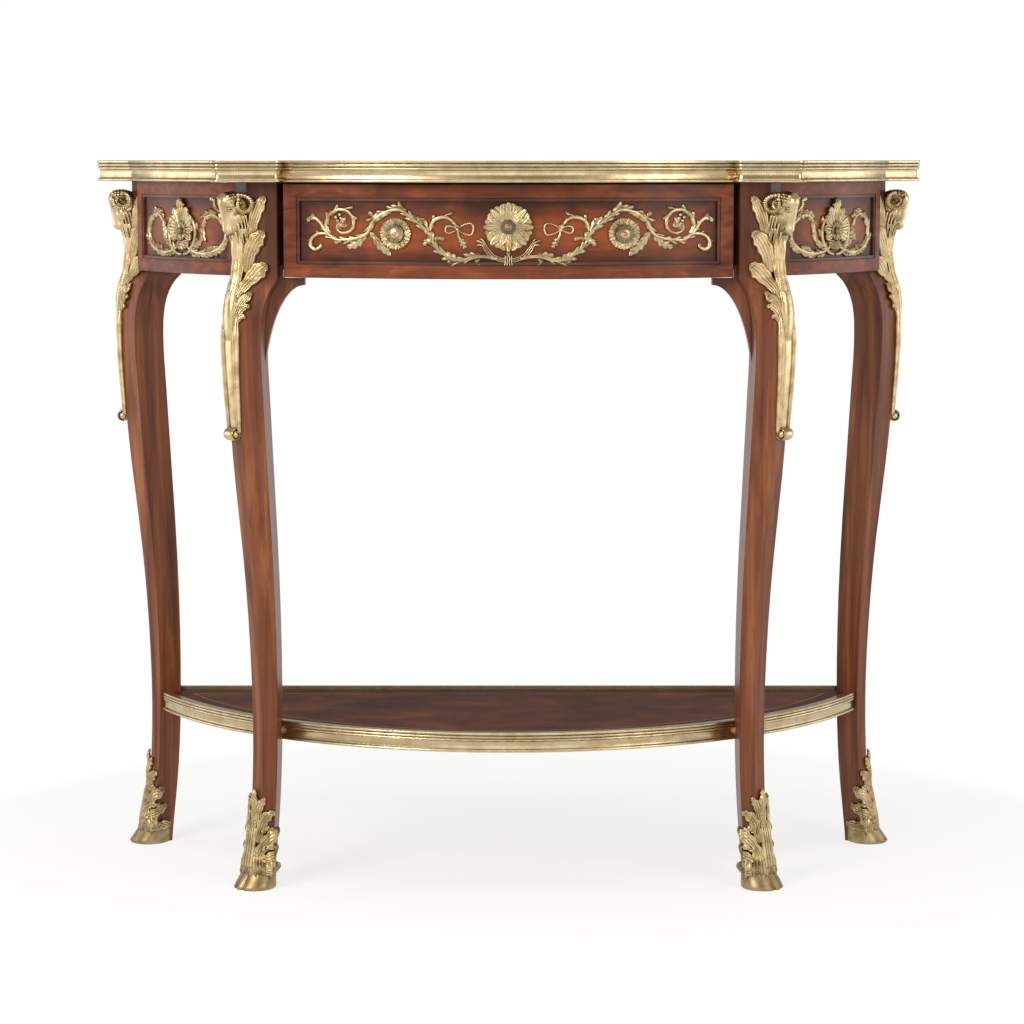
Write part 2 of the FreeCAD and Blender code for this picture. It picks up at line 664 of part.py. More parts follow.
# Side panels of the apron, each with a sunk field and its bead
front_bearing = math.degrees(math.atan2(post_x, post_reach + D["arc_setback"]))
rear_bearing = math.degrees(math.atan2(rear_x, D["rear_post_reach"] + post_diagonal + D["arc_setback"]))
rear_bearing += math.degrees(D["panel_bite"] / side_radius)
field_start = math.degrees(math.asin((post_x + post_span) / side_radius))
border_angle = math.degrees(D["field_border"] / side_radius)
bead_angle = math.degrees(D["bead_width"] / side_radius)
ARC_CENTRE = (0, reach_y("-dims.arc_setback"))
SIDE_RADIUS = f"{TOP_RADIUS} - dims.side_reveal"


def sector(name, sign, outer, inner, level, height, start, end):
    """Curved slab between two radii and two bearings from the front."""
    turn = -90.0 + start if sign > 0 else -90.0 - end
    whole = drum(f"{name}_outer", outer, height, *ARC_CENTRE, level, turn, end - start)
    core = drum(f"{name}_inner", inner, height, *ARC_CENTRE, level)
    return cut(name, whole, core)


for side_name, sign in SIDES:
    field_end = rear_bearing - border_angle
    inside = (field_start + border_angle, field_end)
    board = sector(f"side_board_{side_name}", sign, SIDE_RADIUS, f"{SIDE_RADIUS} - dims.panel_thickness",
                   APRON, "dims.apron_height", front_bearing, rear_bearing)
    fitted = cut(f"side_fitted_{side_name}", board, group(f"side_tools_{side_name}", [
        blank_legs[f"front_{side_name}"], blank_legs[f"rear_{side_name}"]]))
    drilled = cut(f"side_drilled_{side_name}", fitted, apron_dowels)
    field = sector(f"side_field_{side_name}", sign, f"{SIDE_RADIUS} + dims.field_depth",
                   f"{SIDE_RADIUS} - dims.field_depth", f"{APRON} + dims.field_border",
                   "dims.apron_height - 2 * dims.field_border", *inside)
    node(cut(f"side_sunk_{side_name}", drilled, field), f"side_panel_{side_name}")
    bead = sector(f"side_bead_blank_{side_name}", sign, f"{SIDE_RADIUS} - dims.bead_drop",
                  f"{SIDE_RADIUS} - dims.field_depth", f"{APRON} + dims.field_border",
                  "dims.apron_height - 2 * dims.field_border", *inside)
    opening = sector(f"side_bead_opening_{side_name}", sign, SIDE_RADIUS,
                     f"{SIDE_RADIUS} - 2 * dims.field_depth",
                     f"{APRON} + dims.field_border + dims.bead_width",
                     "dims.apron_height - 2 * dims.field_border - 2 * dims.bead_width",
                     inside[0] + bead_angle, inside[1] - bead_angle)
    node(cut(f"side_bead_ring_{side_name}", bead, opening), f"side_bead_{side_name}")

# Back rail, front top rail, runners with guides, kickers and stops
RAIL_FACE = "dims.rail_inset + dims.rail_thickness"
FRONT_RAIL = f"{FRONT_REACH} - dims.post_side * {0.5 * FRONT_COS + POST_SPAN} - dims.rail_gap"
DRAWER_OUT = f"{BAY} - dims.guide_width - dims.drawer_slack"
RUNNER_TOP = f"{APRON} + dims.runner_lift + dims.runner_thickness"
DRAWER_BASE = f"{RUNNER_TOP} + dims.slide_gap"
DRAWER_SIDE = ("dims.apron_height - dims.front_rail_thickness - dims.kicker_gap - dims.slide_gap"
               " - dims.runner_lift - dims.runner_thickness")
KICKER_LEVEL = f"{UNDER_TOP} - dims.front_rail_thickness"
DRAWER_BACK = f"{RAIL_FACE} + dims.stop_thickness + dims.slide_gap"

rail = box("back_rail_board", f"2 * ({REAR_X}) - dims.post_side", "dims.rail_thickness", "dims.apron_height",
           f"-({REAR_X}) + dims.post_side / 2", reach_y(RAIL_FACE), APRON)
rail = cut("back_rail_fitted", rail, all_legs)
node(cut("back_rail_drilled", rail, apron_dowels), "back_rail")
node(box("front_top_rail", f"2 * ({BAY})", "dims.front_rail_width", "dims.front_rail_thickness",
         f"-({BAY})", reach_y(f"{FRONT_RAIL} + dims.front_rail_width"), KICKER_LEVEL), "front_top_rail")
RUNNER_RUN = f"{FRONT_RAIL} + dims.front_rail_width - ({RAIL_FACE})"
for side_name, sign in SIDES:
    ledge_width = "dims.guide_width + dims.drawer_slack + dims.runner_ledge"
    left_edge = f"{BAY} - ({ledge_width})" if sign > 0 else f"-({BAY})"
    front_y = reach_y(f"{FRONT_RAIL} + dims.front_rail_width")
    ledge = box(f"runner_ledge_{side_name}", ledge_width, RUNNER_RUN, "dims.runner_thickness",
                left_edge, front_y, f"{APRON} + dims.runner_lift")
    guide_edge = f"{BAY} - dims.guide_width" if sign > 0 else f"-({BAY})"
    guide = box(f"runner_guide_{side_name}", "dims.guide_width", RUNNER_RUN, "dims.guide_height",
                guide_edge, front_y, RUNNER_TOP)
    node(fuse(f"runner_{side_name}", [ledge, guide]), f"drawer_runner_{side_name}")
    kicker_edge = f"{DRAWER_OUT} - dims.kicker_width" if sign > 0 else f"-({DRAWER_OUT})"
    node(box(f"kicker_{side_name}", "dims.kicker_width", f"{FRONT_RAIL} - ({RAIL_FACE})",
             "dims.front_rail_thickness", kicker_edge, reach_y(FRONT_RAIL), KICKER_LEVEL),
         f"drawer_kicker_{side_name}")
stops = [box(f"stop_{side_name}", "dims.stop_length", "dims.stop_thickness", "dims.stop_height",
             f"{sign} * ({BAY}) / 2 - dims.stop_length / 2", reach_y(f"{RAIL_FACE} + dims.stop_thickness"),
             f"{DRAWER_BASE} + ({DRAWER_SIDE}) / 2")
         for side_name, sign in SIDES]
node(group("drawer_stops", stops), "drawer_stops")

# Glue blocks under the top, with the screws through them
block_size = D["glue_block_size"]
block_height = D["front_rail_thickness"]
inner_side = side_radius - D["panel_thickness"]


def glue_block_shapes():
    """Two blocks on the back rail and one behind each side panel, with a bearing point each."""
    rows = []
    rail_face = back_y - D["rail_inset"] - D["rail_thickness"]
    for _, sign in SIDES:
        corner = Vector(sign * bay_half / 3 - block_size / 2, rail_face - block_size, under_top - block_height)
        rows.append((Part.makeBox(block_size, block_size, block_height, corner),
                     corner + Vector(1, 1, 0) * (block_size / 2)))
        angle = math.radians((field_start + rear_bearing) / 2)
        low = under_top - block_height
        blank = Part.makeBox(block_size, block_size, block_height, Vector(-block_size / 2, -inner_side, low))
        middle = Vector(0, -inner_side + block_size / 2, low)
        blank = blank.common(Part.makeCylinder(inner_side, block_height, Vector(0, 0, low)))
        blank.rotate(Vector(0, 0, 0), UP, sign * math.degrees(angle))
        blank.translate(Vector(0, arc_y, 0))
        middle = Rotation(UP, sign * math.degrees(angle)).multVec(middle) + Vector(0, arc_y, 0)
        rows.append((blank, middle))
    return rows


blocks = glue_block_shapes()
screws = []
for _, foot in blocks:
    shank = rod(foot, UP, block_height + D["screw_bite"], D["screw_diameter"])
    head = rod(foot, UP, D["screw_head_height"], D["screw_head_diameter"])
    screws.append(shank.fuse(head))
top_screws = node(solid("top_screws", Part.makeCompound(screws)), "top_screws")
node(cut("glue_blocks_drilled", solid("glue_blocks_plain", Part.makeCompound([shape for shape, _ in blocks])),
         top_screws), "glue_blocks")
node(cut("top_drilled", top, top_screws), "top_panel")

# Drawer: bowed front with a sunk field, sides, back and bottom
BOW = "dims.drawer_bow"
BOW_CENTRE = (0, reach_y(f"dims.top_depth - dims.drawer_reveal - {BOW}"))
FRONT_HALF = f"{BAY} - dims.drawer_gap"
FRONT_HEIGHT = "dims.apron_height - dims.drawer_gap"


def bowed(name, outer, inner, half, level, height):
    """Slab that follows the bow of the drawer front, cut square at its ends."""
    whole = drum(f"{name}_outer", outer, height, *BOW_CENTRE, level)
    core = drum(f"{name}_inner", inner, height, *BOW_CENTRE, level)
    slab = box(f"{name}_ends", f"2 * ({half})", BOW, height, f"-({half})",
               reach_y(f"dims.top_depth + dims.arc_setback"), level)
    return common(name, cut(f"{name}_shell", whole, core), slab)


front_board = bowed("front_board", BOW, f"{BOW} - dims.drawer_front_thickness", FRONT_HALF, APRON, FRONT_HEIGHT)
front_field = bowed("front_field", f"{BOW} + dims.field_depth", f"{BOW} - dims.field_depth",
                    f"{FRONT_HALF} - dims.field_border", f"{APRON} + dims.field_border",
                    f"{FRONT_HEIGHT} - 2 * dims.field_border")
sunk_front = cut("front_sunk", front_board, front_field)
bead_blank = bowed("front_bead_blank", f"{BOW} - dims.bead_drop", f"{BOW} - dims.field_depth",
                   f"{FRONT_HALF} - dims.field_border", f"{APRON} + dims.field_border",
                   f"{FRONT_HEIGHT} - 2 * dims.field_border")
bead_opening = bowed("front_bead_opening", BOW, f"{BOW} - 2 * dims.field_depth",
                     f"{FRONT_HALF} - dims.field_border - dims.bead_width",
                     f"{APRON} + dims.field_border + dims.bead_width",
                     f"{FRONT_HEIGHT} - 2 * dims.field_border - 2 * dims.bead_width")
node(cut("front_bead", bead_blank, bead_opening), "drawer_bead")

bow_core = drum("bow_core", f"{BOW} - dims.drawer_front_thickness", "dims.apron_height", *BOW_CENTRE, APRON)
BOX_RUN = f"dims.top_depth - dims.drawer_reveal - ({DRAWER_BACK})"
BOTTOM_LEVEL = f"{DRAWER_BASE} + dims.drawer_bottom_lift"
INNER_HALF = f"{DRAWER_OUT} - dims.drawer_wall"
bottom_blank = box("bottom_blank", f"2 * ({INNER_HALF} + dims.groove_depth)", BOX_RUN, "dims.drawer_bottom_thickness",
                   f"-({INNER_HALF} + dims.groove_depth)", reach_y("dims.top_depth - dims.drawer_reveal"), BOTTOM_LEVEL)
drawer_bottom = node(common("bottom_fitted", bottom_blank, bow_core), "drawer_bottom")
for side_name, sign in SIDES:
    edge = INNER_HALF if sign > 0 else f"-({DRAWER_OUT})"
    wall = box(f"wall_{side_name}", "dims.drawer_wall", BOX_RUN, DRAWER_SIDE, edge,
               reach_y("dims.top_depth - dims.drawer_reveal"), DRAWER_BASE)
    shaped = common(f"wall_shaped_{side_name}", wall, bow_core)
    node(cut(f"wall_grooved_{side_name}", shaped, drawer_bottom), f"drawer_side_{side_name}")
BACK_LEVEL = f"{BOTTOM_LEVEL} + dims.drawer_bottom_thickness"
node(box("drawer_back", f"2 * ({INNER_HALF})", "dims.drawer_wall",
         f"{DRAWER_SIDE} - dims.drawer_bottom_lift - dims.drawer_bottom_thickness",
         f"-({INNER_HALF})", reach_y(f"{DRAWER_BACK} + dims.drawer_wall"), BACK_LEVEL), "drawer_back")

# Gilt mounts of the drawer front
field_radius = D["drawer_bow"] - D["field_depth"]
front_middle = apron_level + (D["apron_height"] - D["drawer_gap"]) / 2
casting_depth = 2 * D["drawer_bow"]
sunk_edge = D["field_border"] + D["bead_width"]
mount_fit = min(((D["apron_height"] - D["drawer_gap"]) / 2 - sunk_edge) / D["mount_field_half"],
                (bay_half - D["drawer_gap"] - sunk_edge) / D["mount_field_reach"])
MOUNT_SIZES = ("stem_width", "rosette_radius", "button_radius", "spray_reach", "scroll_ring", "arch_middle",
               "arch_radius", "flower_radius", "garland_middle", "garland_radius")
M = {name: D[name] * mount_fit for name in MOUNT_SIZES}
stem = M["stem_width"]


def stem_ring(x, z, radius, start=0.0, sweep=360.0, width=stem):
    """Curved stem seen from the front: part of a flat ring, made deep."""
    outer = Part.makeCylinder(radius + width / 2, casting_depth, Vector(0, 0, 0), UP, sweep)
    inner = Part.makeCylinder(radius - width / 2, casting_depth, Vector(0, 0, 0), UP)
    shape = outer.cut(inner)
    shape.rotate(Vector(0, 0, 0), UP, start)
    shape.rotate(Vector(0, 0, 0), Vector(1, 0, 0), 90)
    shape.translate(Vector(x, 0, z))
    return shape


def stem_link(start, end):
    """Hanging stem between two points seen from the front, a sixth of a turn."""
    run = math.hypot(end[0] - start[0], end[1] - start[1])
    lean = math.atan2(end[1] - start[1], end[0] - start[0])
    rise = run * math.cos(math.radians(30))
    x = (start[0] + end[0]) / 2 + rise * math.sin(lean)
    z = (start[1] + end[1]) / 2 - rise * math.cos(lean)
    return stem_ring(x, z, run, math.degrees(lean) + 60, 60)


def stem_disc(x, z, radius):
    """Round flower or bud seen from the front, made deep."""
    return rod(Vector(x, 0, z), Vector(0, -1, 0), casting_depth, 2 * radius)


def bowed_shell(centre_y, radius, relief):
    """Thin curved layer in front of an upright cylinder."""
    height = D["apron_height"]
    outer = Part.makeCylinder(radius + relief, height, Vector(0, centre_y, apron_level))
    return outer.cut(Part.makeCylinder(radius, height, Vector(0, centre_y, apron_level)))


ARCH_END = math.radians(12)
drawer_shell = bowed_shell(drawer_centre_y, field_radius, D["mount_relief"])
keep_clear = M["rosette_radius"] + stem / 4


def spray_shape(sign):
    """Scrolling spray beside the rosette: garland, arch with flower, link and end scroll."""
    arch_z = -0.28 * M["arch_radius"]
    garland_z = 0.3 * M["garland_radius"]
    ring_z = 0.65 * M["scroll_ring"]
    arch_end = (-M["arch_middle"] - M["arch_radius"] * math.cos(ARCH_END), arch_z + M["arch_radius"] * math.sin(ARCH_END))
    ring_foot = (-M["spray_reach"], ring_z - M["scroll_ring"])
    pieces = [
        stem_ring(-M["garland_middle"], garland_z, M["garland_radius"], 196, 139),
        stem_ring(-M["arch_middle"], arch_z, M["arch_radius"], 2, 178 - math.degrees(ARCH_END)),
        stem_disc(-M["arch_middle"], arch_z + 0.14 * M["arch_radius"], M["flower_radius"]),
        stem_link(arch_end, ring_foot),
        stem_ring(-M["spray_reach"], ring_z, M["scroll_ring"]),
        stem_disc(-M["spray_reach"], ring_z, M["scroll_ring"] * 0.45),
    ]
    pieces.append(Part.makeBox(M["arch_radius"], casting_depth, stem,
                               Vector(-M["arch_middle"] - M["arch_radius"], -casting_depth,
                                      arch_z + 0.14 * M["arch_radius"] - stem / 2)))
    pieces.append(Part.makeBox(M["scroll_ring"], casting_depth, stem,
                               Vector(-M["spray_reach"], -casting_depth, ring_z - stem / 2)))
    shape = pieces[0].fuse(pieces[1:])
    if sign > 0:
        shape = shape.mirror(Vector(0, 0, 0), Vector(1, 0, 0))
    shape.translate(Vector(0, drawer_centre_y, front_middle))
    return shape.common(drawer_shell)


def rosette_shape():
    """Open flower with a button, its back on the sunk field, over a pair of cradling reeds."""
    relief = D["rosette_relief"]
    radius = M["rosette_radius"]
    count = int(D["rosette_petals"])
    face_y = drawer_centre_y - field_radius - relief
    petals = []
    for number in range(count):
        angle = 2 * math.pi * number / count
        x, z = 0.6 * radius * math.cos(angle), 0.6 * radius * math.sin(angle)
        petals.append(rod(Vector(x, face_y + relief / 2, front_middle + z), Vector(0, 1, 0), 2 * relief, 0.8 * radius))
    petals.append(rod(Vector(0, face_y, front_middle), Vector(0, 1, 0), 2 * relief, 2 * M["button_radius"]))
    middle = rod(Vector(0, face_y + relief / 2, front_middle), Vector(0, 1, 0), 2 * relief, radius)
    shape = middle.fuse(petals).removeSplitter()
    return shape.cut(Part.makeCylinder(field_radius, D["apron_height"], Vector(0, drawer_centre_y, apron_level)))


rosette = rosette_shape()
rosette_space = rod(Vector(0, drawer_centre_y, front_middle), Vector(0, -1, 0), casting_depth, 2 * keep_clear)
pin_places = [(0.0, 0.0)]
for _, sign in SIDES:
    pin_places.append((sign * M["arch_middle"], -0.14 * M["arch_radius"]))
    pin_places.append((sign * M["spray_reach"], 0.65 * M["scroll_ring"]))


def pin_shapes():
    """Pins that go through the mounts into the drawer front."""
    pins = []
    for x, z in pin_places:
        face_y = drawer_centre_y - math.sqrt(field_radius ** 2 - x ** 2)
        stand = D["mount_relief"] / 2
        pins.append(rod(Vector(x, face_y - stand, front_middle + z), Vector(0, 1, 0), D["pin_length"], D["pin_diameter"]))
    return pins


pins = node(solid("drawer_mount_pins", Part.makeCompound(pin_shapes())), "drawer_mount_pins")
node(cut("front_pinned", sunk_front, pins), "drawer_front")
node(cut("rosette_pinned", solid("rosette_cast", rosette), pins), "drawer_rosette")
for side_name, sign in SIDES:
    cast = spray_shape(sign).cut(rosette_space)
    node(cut(f"spray_pinned_{side_name}", solid(f"spray_cast_{side_name}", cast), pins), f"drawer_spray_{side_name}")

# Shell mounts of the side panels
side_field_radius = side_radius - D["field_depth"]
mount_bearing = (field_start + rear_bearing) / 2
side_span = math.radians((rear_bearing - field_start) / 2) * side_radius
shell_fit = min((D["apron_height"] / 2 - sunk_edge) / D["shell_field_half"],
                (side_span - sunk_edge) / D["shell_field_reach"])


def side_mount_shape(sign):
    """Feathered shell between two scrolls, on the sunk field of a side panel."""
    half, width = shell_fit * D["shell_height"] / 2, shell_fit * D["shell_width"] / 2
    loop = shell_fit * D["loop_radius"]
    stem = shell_fit * D["stem_width"]
    pieces = [stem_disc(0, half - width, width), stem_disc(0, -half + 0.7 * width, 0.7 * width)]
    pieces.append(Part.makeBox(1.2 * width, casting_depth, 2 * half - 1.7 * width,
                               Vector(-0.6 * width, -casting_depth, -half + 0.7 * width)))
    for turn in (-1, 1):
        pieces.append(stem_ring(turn * (width + loop * 0.62), -0.1 * half, loop, width=stem))
        pieces.append(stem_ring(turn * (width + loop * 0.62), -0.1 * half, loop * 0.45, width=stem * 0.7))
        pieces.append(Part.makeBox(loop, casting_depth, stem * 0.7, Vector(
            min(0, turn * loop) + turn * (width + loop * 0.62), -casting_depth, -0.1 * half - stem * 0.35)))
    shape = pieces[0].fuse(pieces[1:])
    shape.translate(Vector(0, 0, apron_level + D["apron_height"] / 2))
    shape = shape.common(bowed_shell(0, side_field_radius, D["mount_relief"]))
    shape.rotate(Vector(0, 0, 0), UP, sign * mount_bearing)
    shape.translate(Vector(0, arc_y, 0))
    return shape


for side_name, sign in SIDES:
    node(solid(f"side_mount_{side_name}", side_mount_shape(sign)), f"side_mount_{side_name}")

# Shelf board, its brass edge and the strip along its back
ANKLE_X = f"{FRONT_X} + dims.ankle_lean * {FRONT_SIN}"
ANKLE_OUT = f"{FRONT_REACH} + dims.arc_setback + dims.ankle_lean * {FRONT_COS}"
SHELF_RADIUS = f"sqrt(({ANKLE_X})^2 + ({ANKLE_OUT})^2) - dims.shelf_inset"
SHELF_HALF = f"{REAR_X} + dims.ankle_lean"
BOARD_LEVEL = "dims.shelf_level - dims.shelf_rim - dims.shelf_thickness"
shelf_disc = drum("shelf_disc", f"{SHELF_RADIUS} - dims.band_depth", "dims.shelf_thickness", *ARC_CENTRE, BOARD_LEVEL)
shelf_ends = box("shelf_ends", f"2 * ({SHELF_HALF})", far, "dims.shelf_thickness", f"-({SHELF_HALF})",
                 f"{BACK} - dims.shelf_setback - dims.back_strip_depth - {far}", BOARD_LEVEL)
shelf_blank = common("shelf_blank", shelf_disc, shelf_ends)
notch = doc.addObject("Part::Prism", "leg_notch")
notch.Polygon = 4
bind(notch, Circumradius=f"dims.cannon_half + ({CANT}) / 2 + dims.notch_gap", Height="2 * dims.shelf_level")
place(notch, f"dims.ankle_lean + ({CANT}) / 2")
notches = [stand_leg_piece(f"notch_{corner}", notch, corner) for corner in LEGS]
shelf_notched = cut("shelf_notched", shelf_blank, group("all_notches", notches))
node(cut("shelf_drilled", shelf_notched, shelf_dowels), "shelf_panel")

ankle_x = front_post_x + D["ankle_lean"] * FRONT_SIN
ankle_out = front_post_reach + D["arc_setback"] + D["ankle_lean"] * FRONT_COS
ankle_bearing = math.degrees(math.atan2(ankle_x, ankle_out))
shelf_radius = math.hypot(ankle_x, ankle_out) - D["shelf_inset"]
shelf_half = rear_post_x + D["ankle_lean"]
band_level = D["shelf_level"] - D["shelf_band_height"]
end_bearing = math.degrees(math.asin(shelf_half / shelf_radius))
end_slab = Part.makeBox(2 * shelf_half, far, D["overall_height"], Vector(-shelf_half, -far / 2, 0))
for name, start, end in (("left", -end_bearing - 6, -ankle_bearing), ("center", -ankle_bearing, ankle_bearing),
                         ("right", ankle_bearing, end_bearing + 6)):
    shape = ring_band(shelf_radius, D["shelf_band_height"], band_level, -90 + start, end - start).common(end_slab)
    fitted = cut(f"shelf_band_fitted_{name}", solid(f"shelf_band_blank_{name}", shape), all_legs)
    node(cut(f"shelf_band_drilled_{name}", fitted, shelf_dowels), f"shelf_band_{name}")
strip = box("shelf_strip", f"2 * ({SHELF_HALF})", "dims.back_strip_depth", "dims.shelf_band_height",
            f"-({SHELF_HALF})", reach_y("dims.shelf_setback + dims.back_strip_depth"),
            "dims.shelf_level - dims.shelf_band_height")
node(main_solid("shelf_strip_whole", cut("shelf_strip_fitted", strip, all_legs)), "shelf_band_back")


# Gilt castings of the legs: each one pattern, cut to the wood it sits on
def ram_head_shape():
    """Ram's head on the post face, with ringed horns and a leaf on each side of the post."""
    top_level = under_top - D["head_top"]
    low = top_level - D["head_height"]
    reach, width = D["head_reach"], D["head_width"] / 2
    rows = ((0.0, 0.55, 0.6), (0.18, 0.82, 0.62), (0.5, 0.95, 0.85), (0.8, 1.0, 1.0), (1.0, 0.62, 0.7))
    outlines = []
    for share, out, wide in rows:
        half = (out * reach + D["casting_sink"]) / 2
        outlines.append(octagon(half - D["casting_sink"], half, wide * width, low + share * D["head_height"]))
    head = Part.makeLoft(outlines, True, True)
    pieces = []
    for turn in (-1, 1):
        horn = Part.makeTorus(D["horn_ring"], D["horn_thickness"] / 2,
                              Vector(0.7 * reach, turn * width, low + 0.7 * D["head_height"]), Vector(0, 1, 0))
        pieces.append(horn)
        blade = Part.makeBox(D["leaf_thickness"], D["leaf_width"], D["leaf_height"], Vector(0, 0, 0))
        blade.rotate(Vector(0, 0, 0), UP, 45 if turn > 0 else -45)
        if turn < 0:
            blade = Part.makeBox(D["leaf_thickness"], D["leaf_width"], D["leaf_height"],
                                 Vector(0, -D["leaf_width"], 0))
            blade.rotate(Vector(0, 0, 0), UP, -45)
        flat = post_diagonal - post_centre
        blade.translate(Vector(0, turn * (flat - D["leaf_thickness"] / 2), top_level - D["leaf_height"]))
        pieces.append(blade)
    flat = post_diagonal - post_centre + D["leaf_thickness"]
    pieces.append(Part.makeBox(D["leaf_thickness"], 2 * flat, D["head_height"], Vector(0, -flat, low)))
    return head.fuse(pieces)


def chute_shape():
    """Acanthus over the knee, then a strap down the corner of the leg with a scroll at its end."""
    drop = D["chute_drop"]
    low_head = under_top - D["head_top"] - D["head_height"]
    rows = ((1.0, 0.56, 0.30), (0.84, 0.62, 0.32), (0.58, 0.70, 0.40), (0.37, 0.85, 0.62), (0.20, 1.0, 1.0),
            (0.03, 0.66, 0.90))
    outlines = []
    for share, stand, wide in rows:
        level = apron_level - share * drop
        outer = corner_of_leg(level) + stand * D["chute_stand"]
        half = 0.5 * stand * D["chute_stand"] + 2 * D["casting_sink"]
        outlines.append(octagon(outer - half, half, wide * D["chute_width"] / 2, level))
    trunk = 0.36 * D["chute_stand"]
    outlines.append(octagon(trunk, trunk + D["casting_sink"], 0.30 * D["chute_width"], apron_level + 0.12 * drop))
    outlines.append(octagon(trunk, trunk + D["casting_sink"], 0.28 * D["chute_width"], low_head))
    strap = Part.makeLoft(outlines, True, True)
    end_level = apron_level - drop + D["scroll_radius"] / 2
    outer = corner_of_leg(end_level) + 0.56 * D["chute_stand"]
    scroll = Part.makeCylinder(D["scroll_radius"], D["scroll_width"],
                               Vector(outer - D["scroll_radius"] / 2, -D["scroll_width"] / 2, end_level),
                               Vector(0, 1, 0))
    return strap.fuse(scroll)


def sabot_shape():
    """Cloven hoof with a cuff of leaves that runs up the corner of the leg."""
    middle, half = (D["hoof_toe"] + D["hoof_heel"]) / 2, (D["hoof_toe"] - D["hoof_heel"]) / 2
    width, wall = D["hoof_width"] / 2, D["sabot_wall"]
    height = D["hoof_height"]
    hoof = Part.makeLoft([octagon(middle, half, width, 0),
                          octagon(middle - 0.12 * half, 0.92 * half, 0.96 * width, 0.55 * height),
                          octagon(middle - 0.2 * half, 0.8 * half, 0.9 * width, height)], True, True)
    rows = ((height, 1.0, 0.9), (0.5 * D["sabot_height"], 1.0, 0.75), (0.8 * D["sabot_height"], 1.2, 0.4),
            (D["sabot_height"], 1.4, 0.12))
    outlines = []
    for level, stand, wide in rows:
        outer = corner_of_leg(level) + stand * wall
        reach = half * wide + wall
        outlines.append(octagon(outer - reach, reach, wide * width + wall / 2, level))
    cuff = Part.makeLoft(outlines, True, True)
    return hoof.fuse(cuff)


head_pattern = cut("ram_head_pattern", solid("ram_head_cast", ram_head_shape()), leg)
chute_tools = group("chute_tools", [leg, head_pattern])
chute_pattern = main_solid("chute_whole", cut("chute_pattern", solid("chute_cast", chute_shape()), chute_tools))
sabot_pattern = main_solid("sabot_whole", cut("sabot_pattern", solid("sabot_cast", sabot_shape()), leg))
for corner in LEGS:
    for name, pattern in (("ram_head", head_pattern), ("chute", chute_pattern), ("sabot", sabot_pattern)):
        node(stand_leg_piece(f"{name}_{corner}", pattern, corner), f"{name}_{corner}")

doc.recompute()

# Every object is checked before any file is written
failed = [obj.Label for obj in doc.Objects if {"Invalid", "Error"} & set(obj.State)]
for obj in nodes:
    if obj.Shape.isNull() or not obj.Shape.isValid() or not obj.Shape.Solids:
        failed.append(obj.Label)
if failed:
    raise RuntimeError("these objects are not sound: " + ", ".join(failed))

os.makedirs("parts", exist_ok=True)
for obj in nodes:
    obj.Shape.exportStep(f"parts/{obj.Label}.step")
print(len(nodes), "pieces written")
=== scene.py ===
"""Looks of the demilune console table: wood and metal finishes, chased castings, floor, light and camera."""

import json
import logging
import math
from dataclasses import dataclass, field
from enum import Enum
from functools import partial
from typing import Any, Callable, Dict, List, Optional, Sequence, Tuple

import bmesh
import bpy
import numpy as np
from mathutils import Matrix, Vector

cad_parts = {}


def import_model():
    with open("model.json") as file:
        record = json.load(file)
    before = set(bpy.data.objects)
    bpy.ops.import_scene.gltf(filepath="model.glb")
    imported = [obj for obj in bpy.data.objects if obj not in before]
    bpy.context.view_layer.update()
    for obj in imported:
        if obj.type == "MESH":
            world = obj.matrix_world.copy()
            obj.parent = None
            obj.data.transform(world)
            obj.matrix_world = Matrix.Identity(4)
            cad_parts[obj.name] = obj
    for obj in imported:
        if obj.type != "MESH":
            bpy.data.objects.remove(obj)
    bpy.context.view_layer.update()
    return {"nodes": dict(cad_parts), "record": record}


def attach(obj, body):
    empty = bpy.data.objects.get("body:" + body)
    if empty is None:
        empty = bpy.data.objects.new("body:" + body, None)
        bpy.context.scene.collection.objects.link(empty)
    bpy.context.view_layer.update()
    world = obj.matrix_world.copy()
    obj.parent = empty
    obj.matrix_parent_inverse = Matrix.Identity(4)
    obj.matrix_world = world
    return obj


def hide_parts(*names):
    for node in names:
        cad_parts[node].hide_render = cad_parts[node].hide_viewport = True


LOG = logging.getLogger("demilune")
MM = 0.001
ROOT_HALF = math.sqrt(0.5)

Array = np.ndarray
Socket = bpy.types.NodeSocket
Material = bpy.types.Material
Colour = Tuple[float, float, float]
Point2 = Tuple[float, float]
Point3 = Tuple[float, float, float]
Wrap = Callable[[Array], Array]


def linear(red: int, green: int, blue: int) -> Colour:
    """Turn a display colour into the linear values that shaders use.

    Args:
        red: Red, 0 to 255.
        green: Green, 0 to 255.
        blue: Blue, 0 to 255.

    Returns:
        The same colour in linear values.
    """
    values = []
    for part in (red, green, blue):
        share = part / 255.0
        values.append(share / 12.92 if share <= 0.04045 else ((share + 0.055) / 1.055) ** 2.4)
    return (values[0], values[1], values[2])


# Painted shade along the edges and in the corners of the wood.
CORNER_SHADE = linear(34, 15, 9)
# Painted shade on the upper part of a leg, under the top.
POST_SHADE = linear(38, 17, 9)
# Painted shade towards the border of a sunk field, and painted light in its middle.
FIELD_PAINTED_SHADE = linear(38, 17, 12)
FIELD_PAINTED_LIGHT = linear(148, 71, 32)
INLAY_LINE = linear(150, 104, 62)


class Corner(Enum):
    """The four legs, named as the CAD nodes are."""

    FRONT_LEFT = "front_left"
    FRONT_RIGHT = "front_right"
    REAR_LEFT = "rear_left"
    REAR_RIGHT = "rear_right"


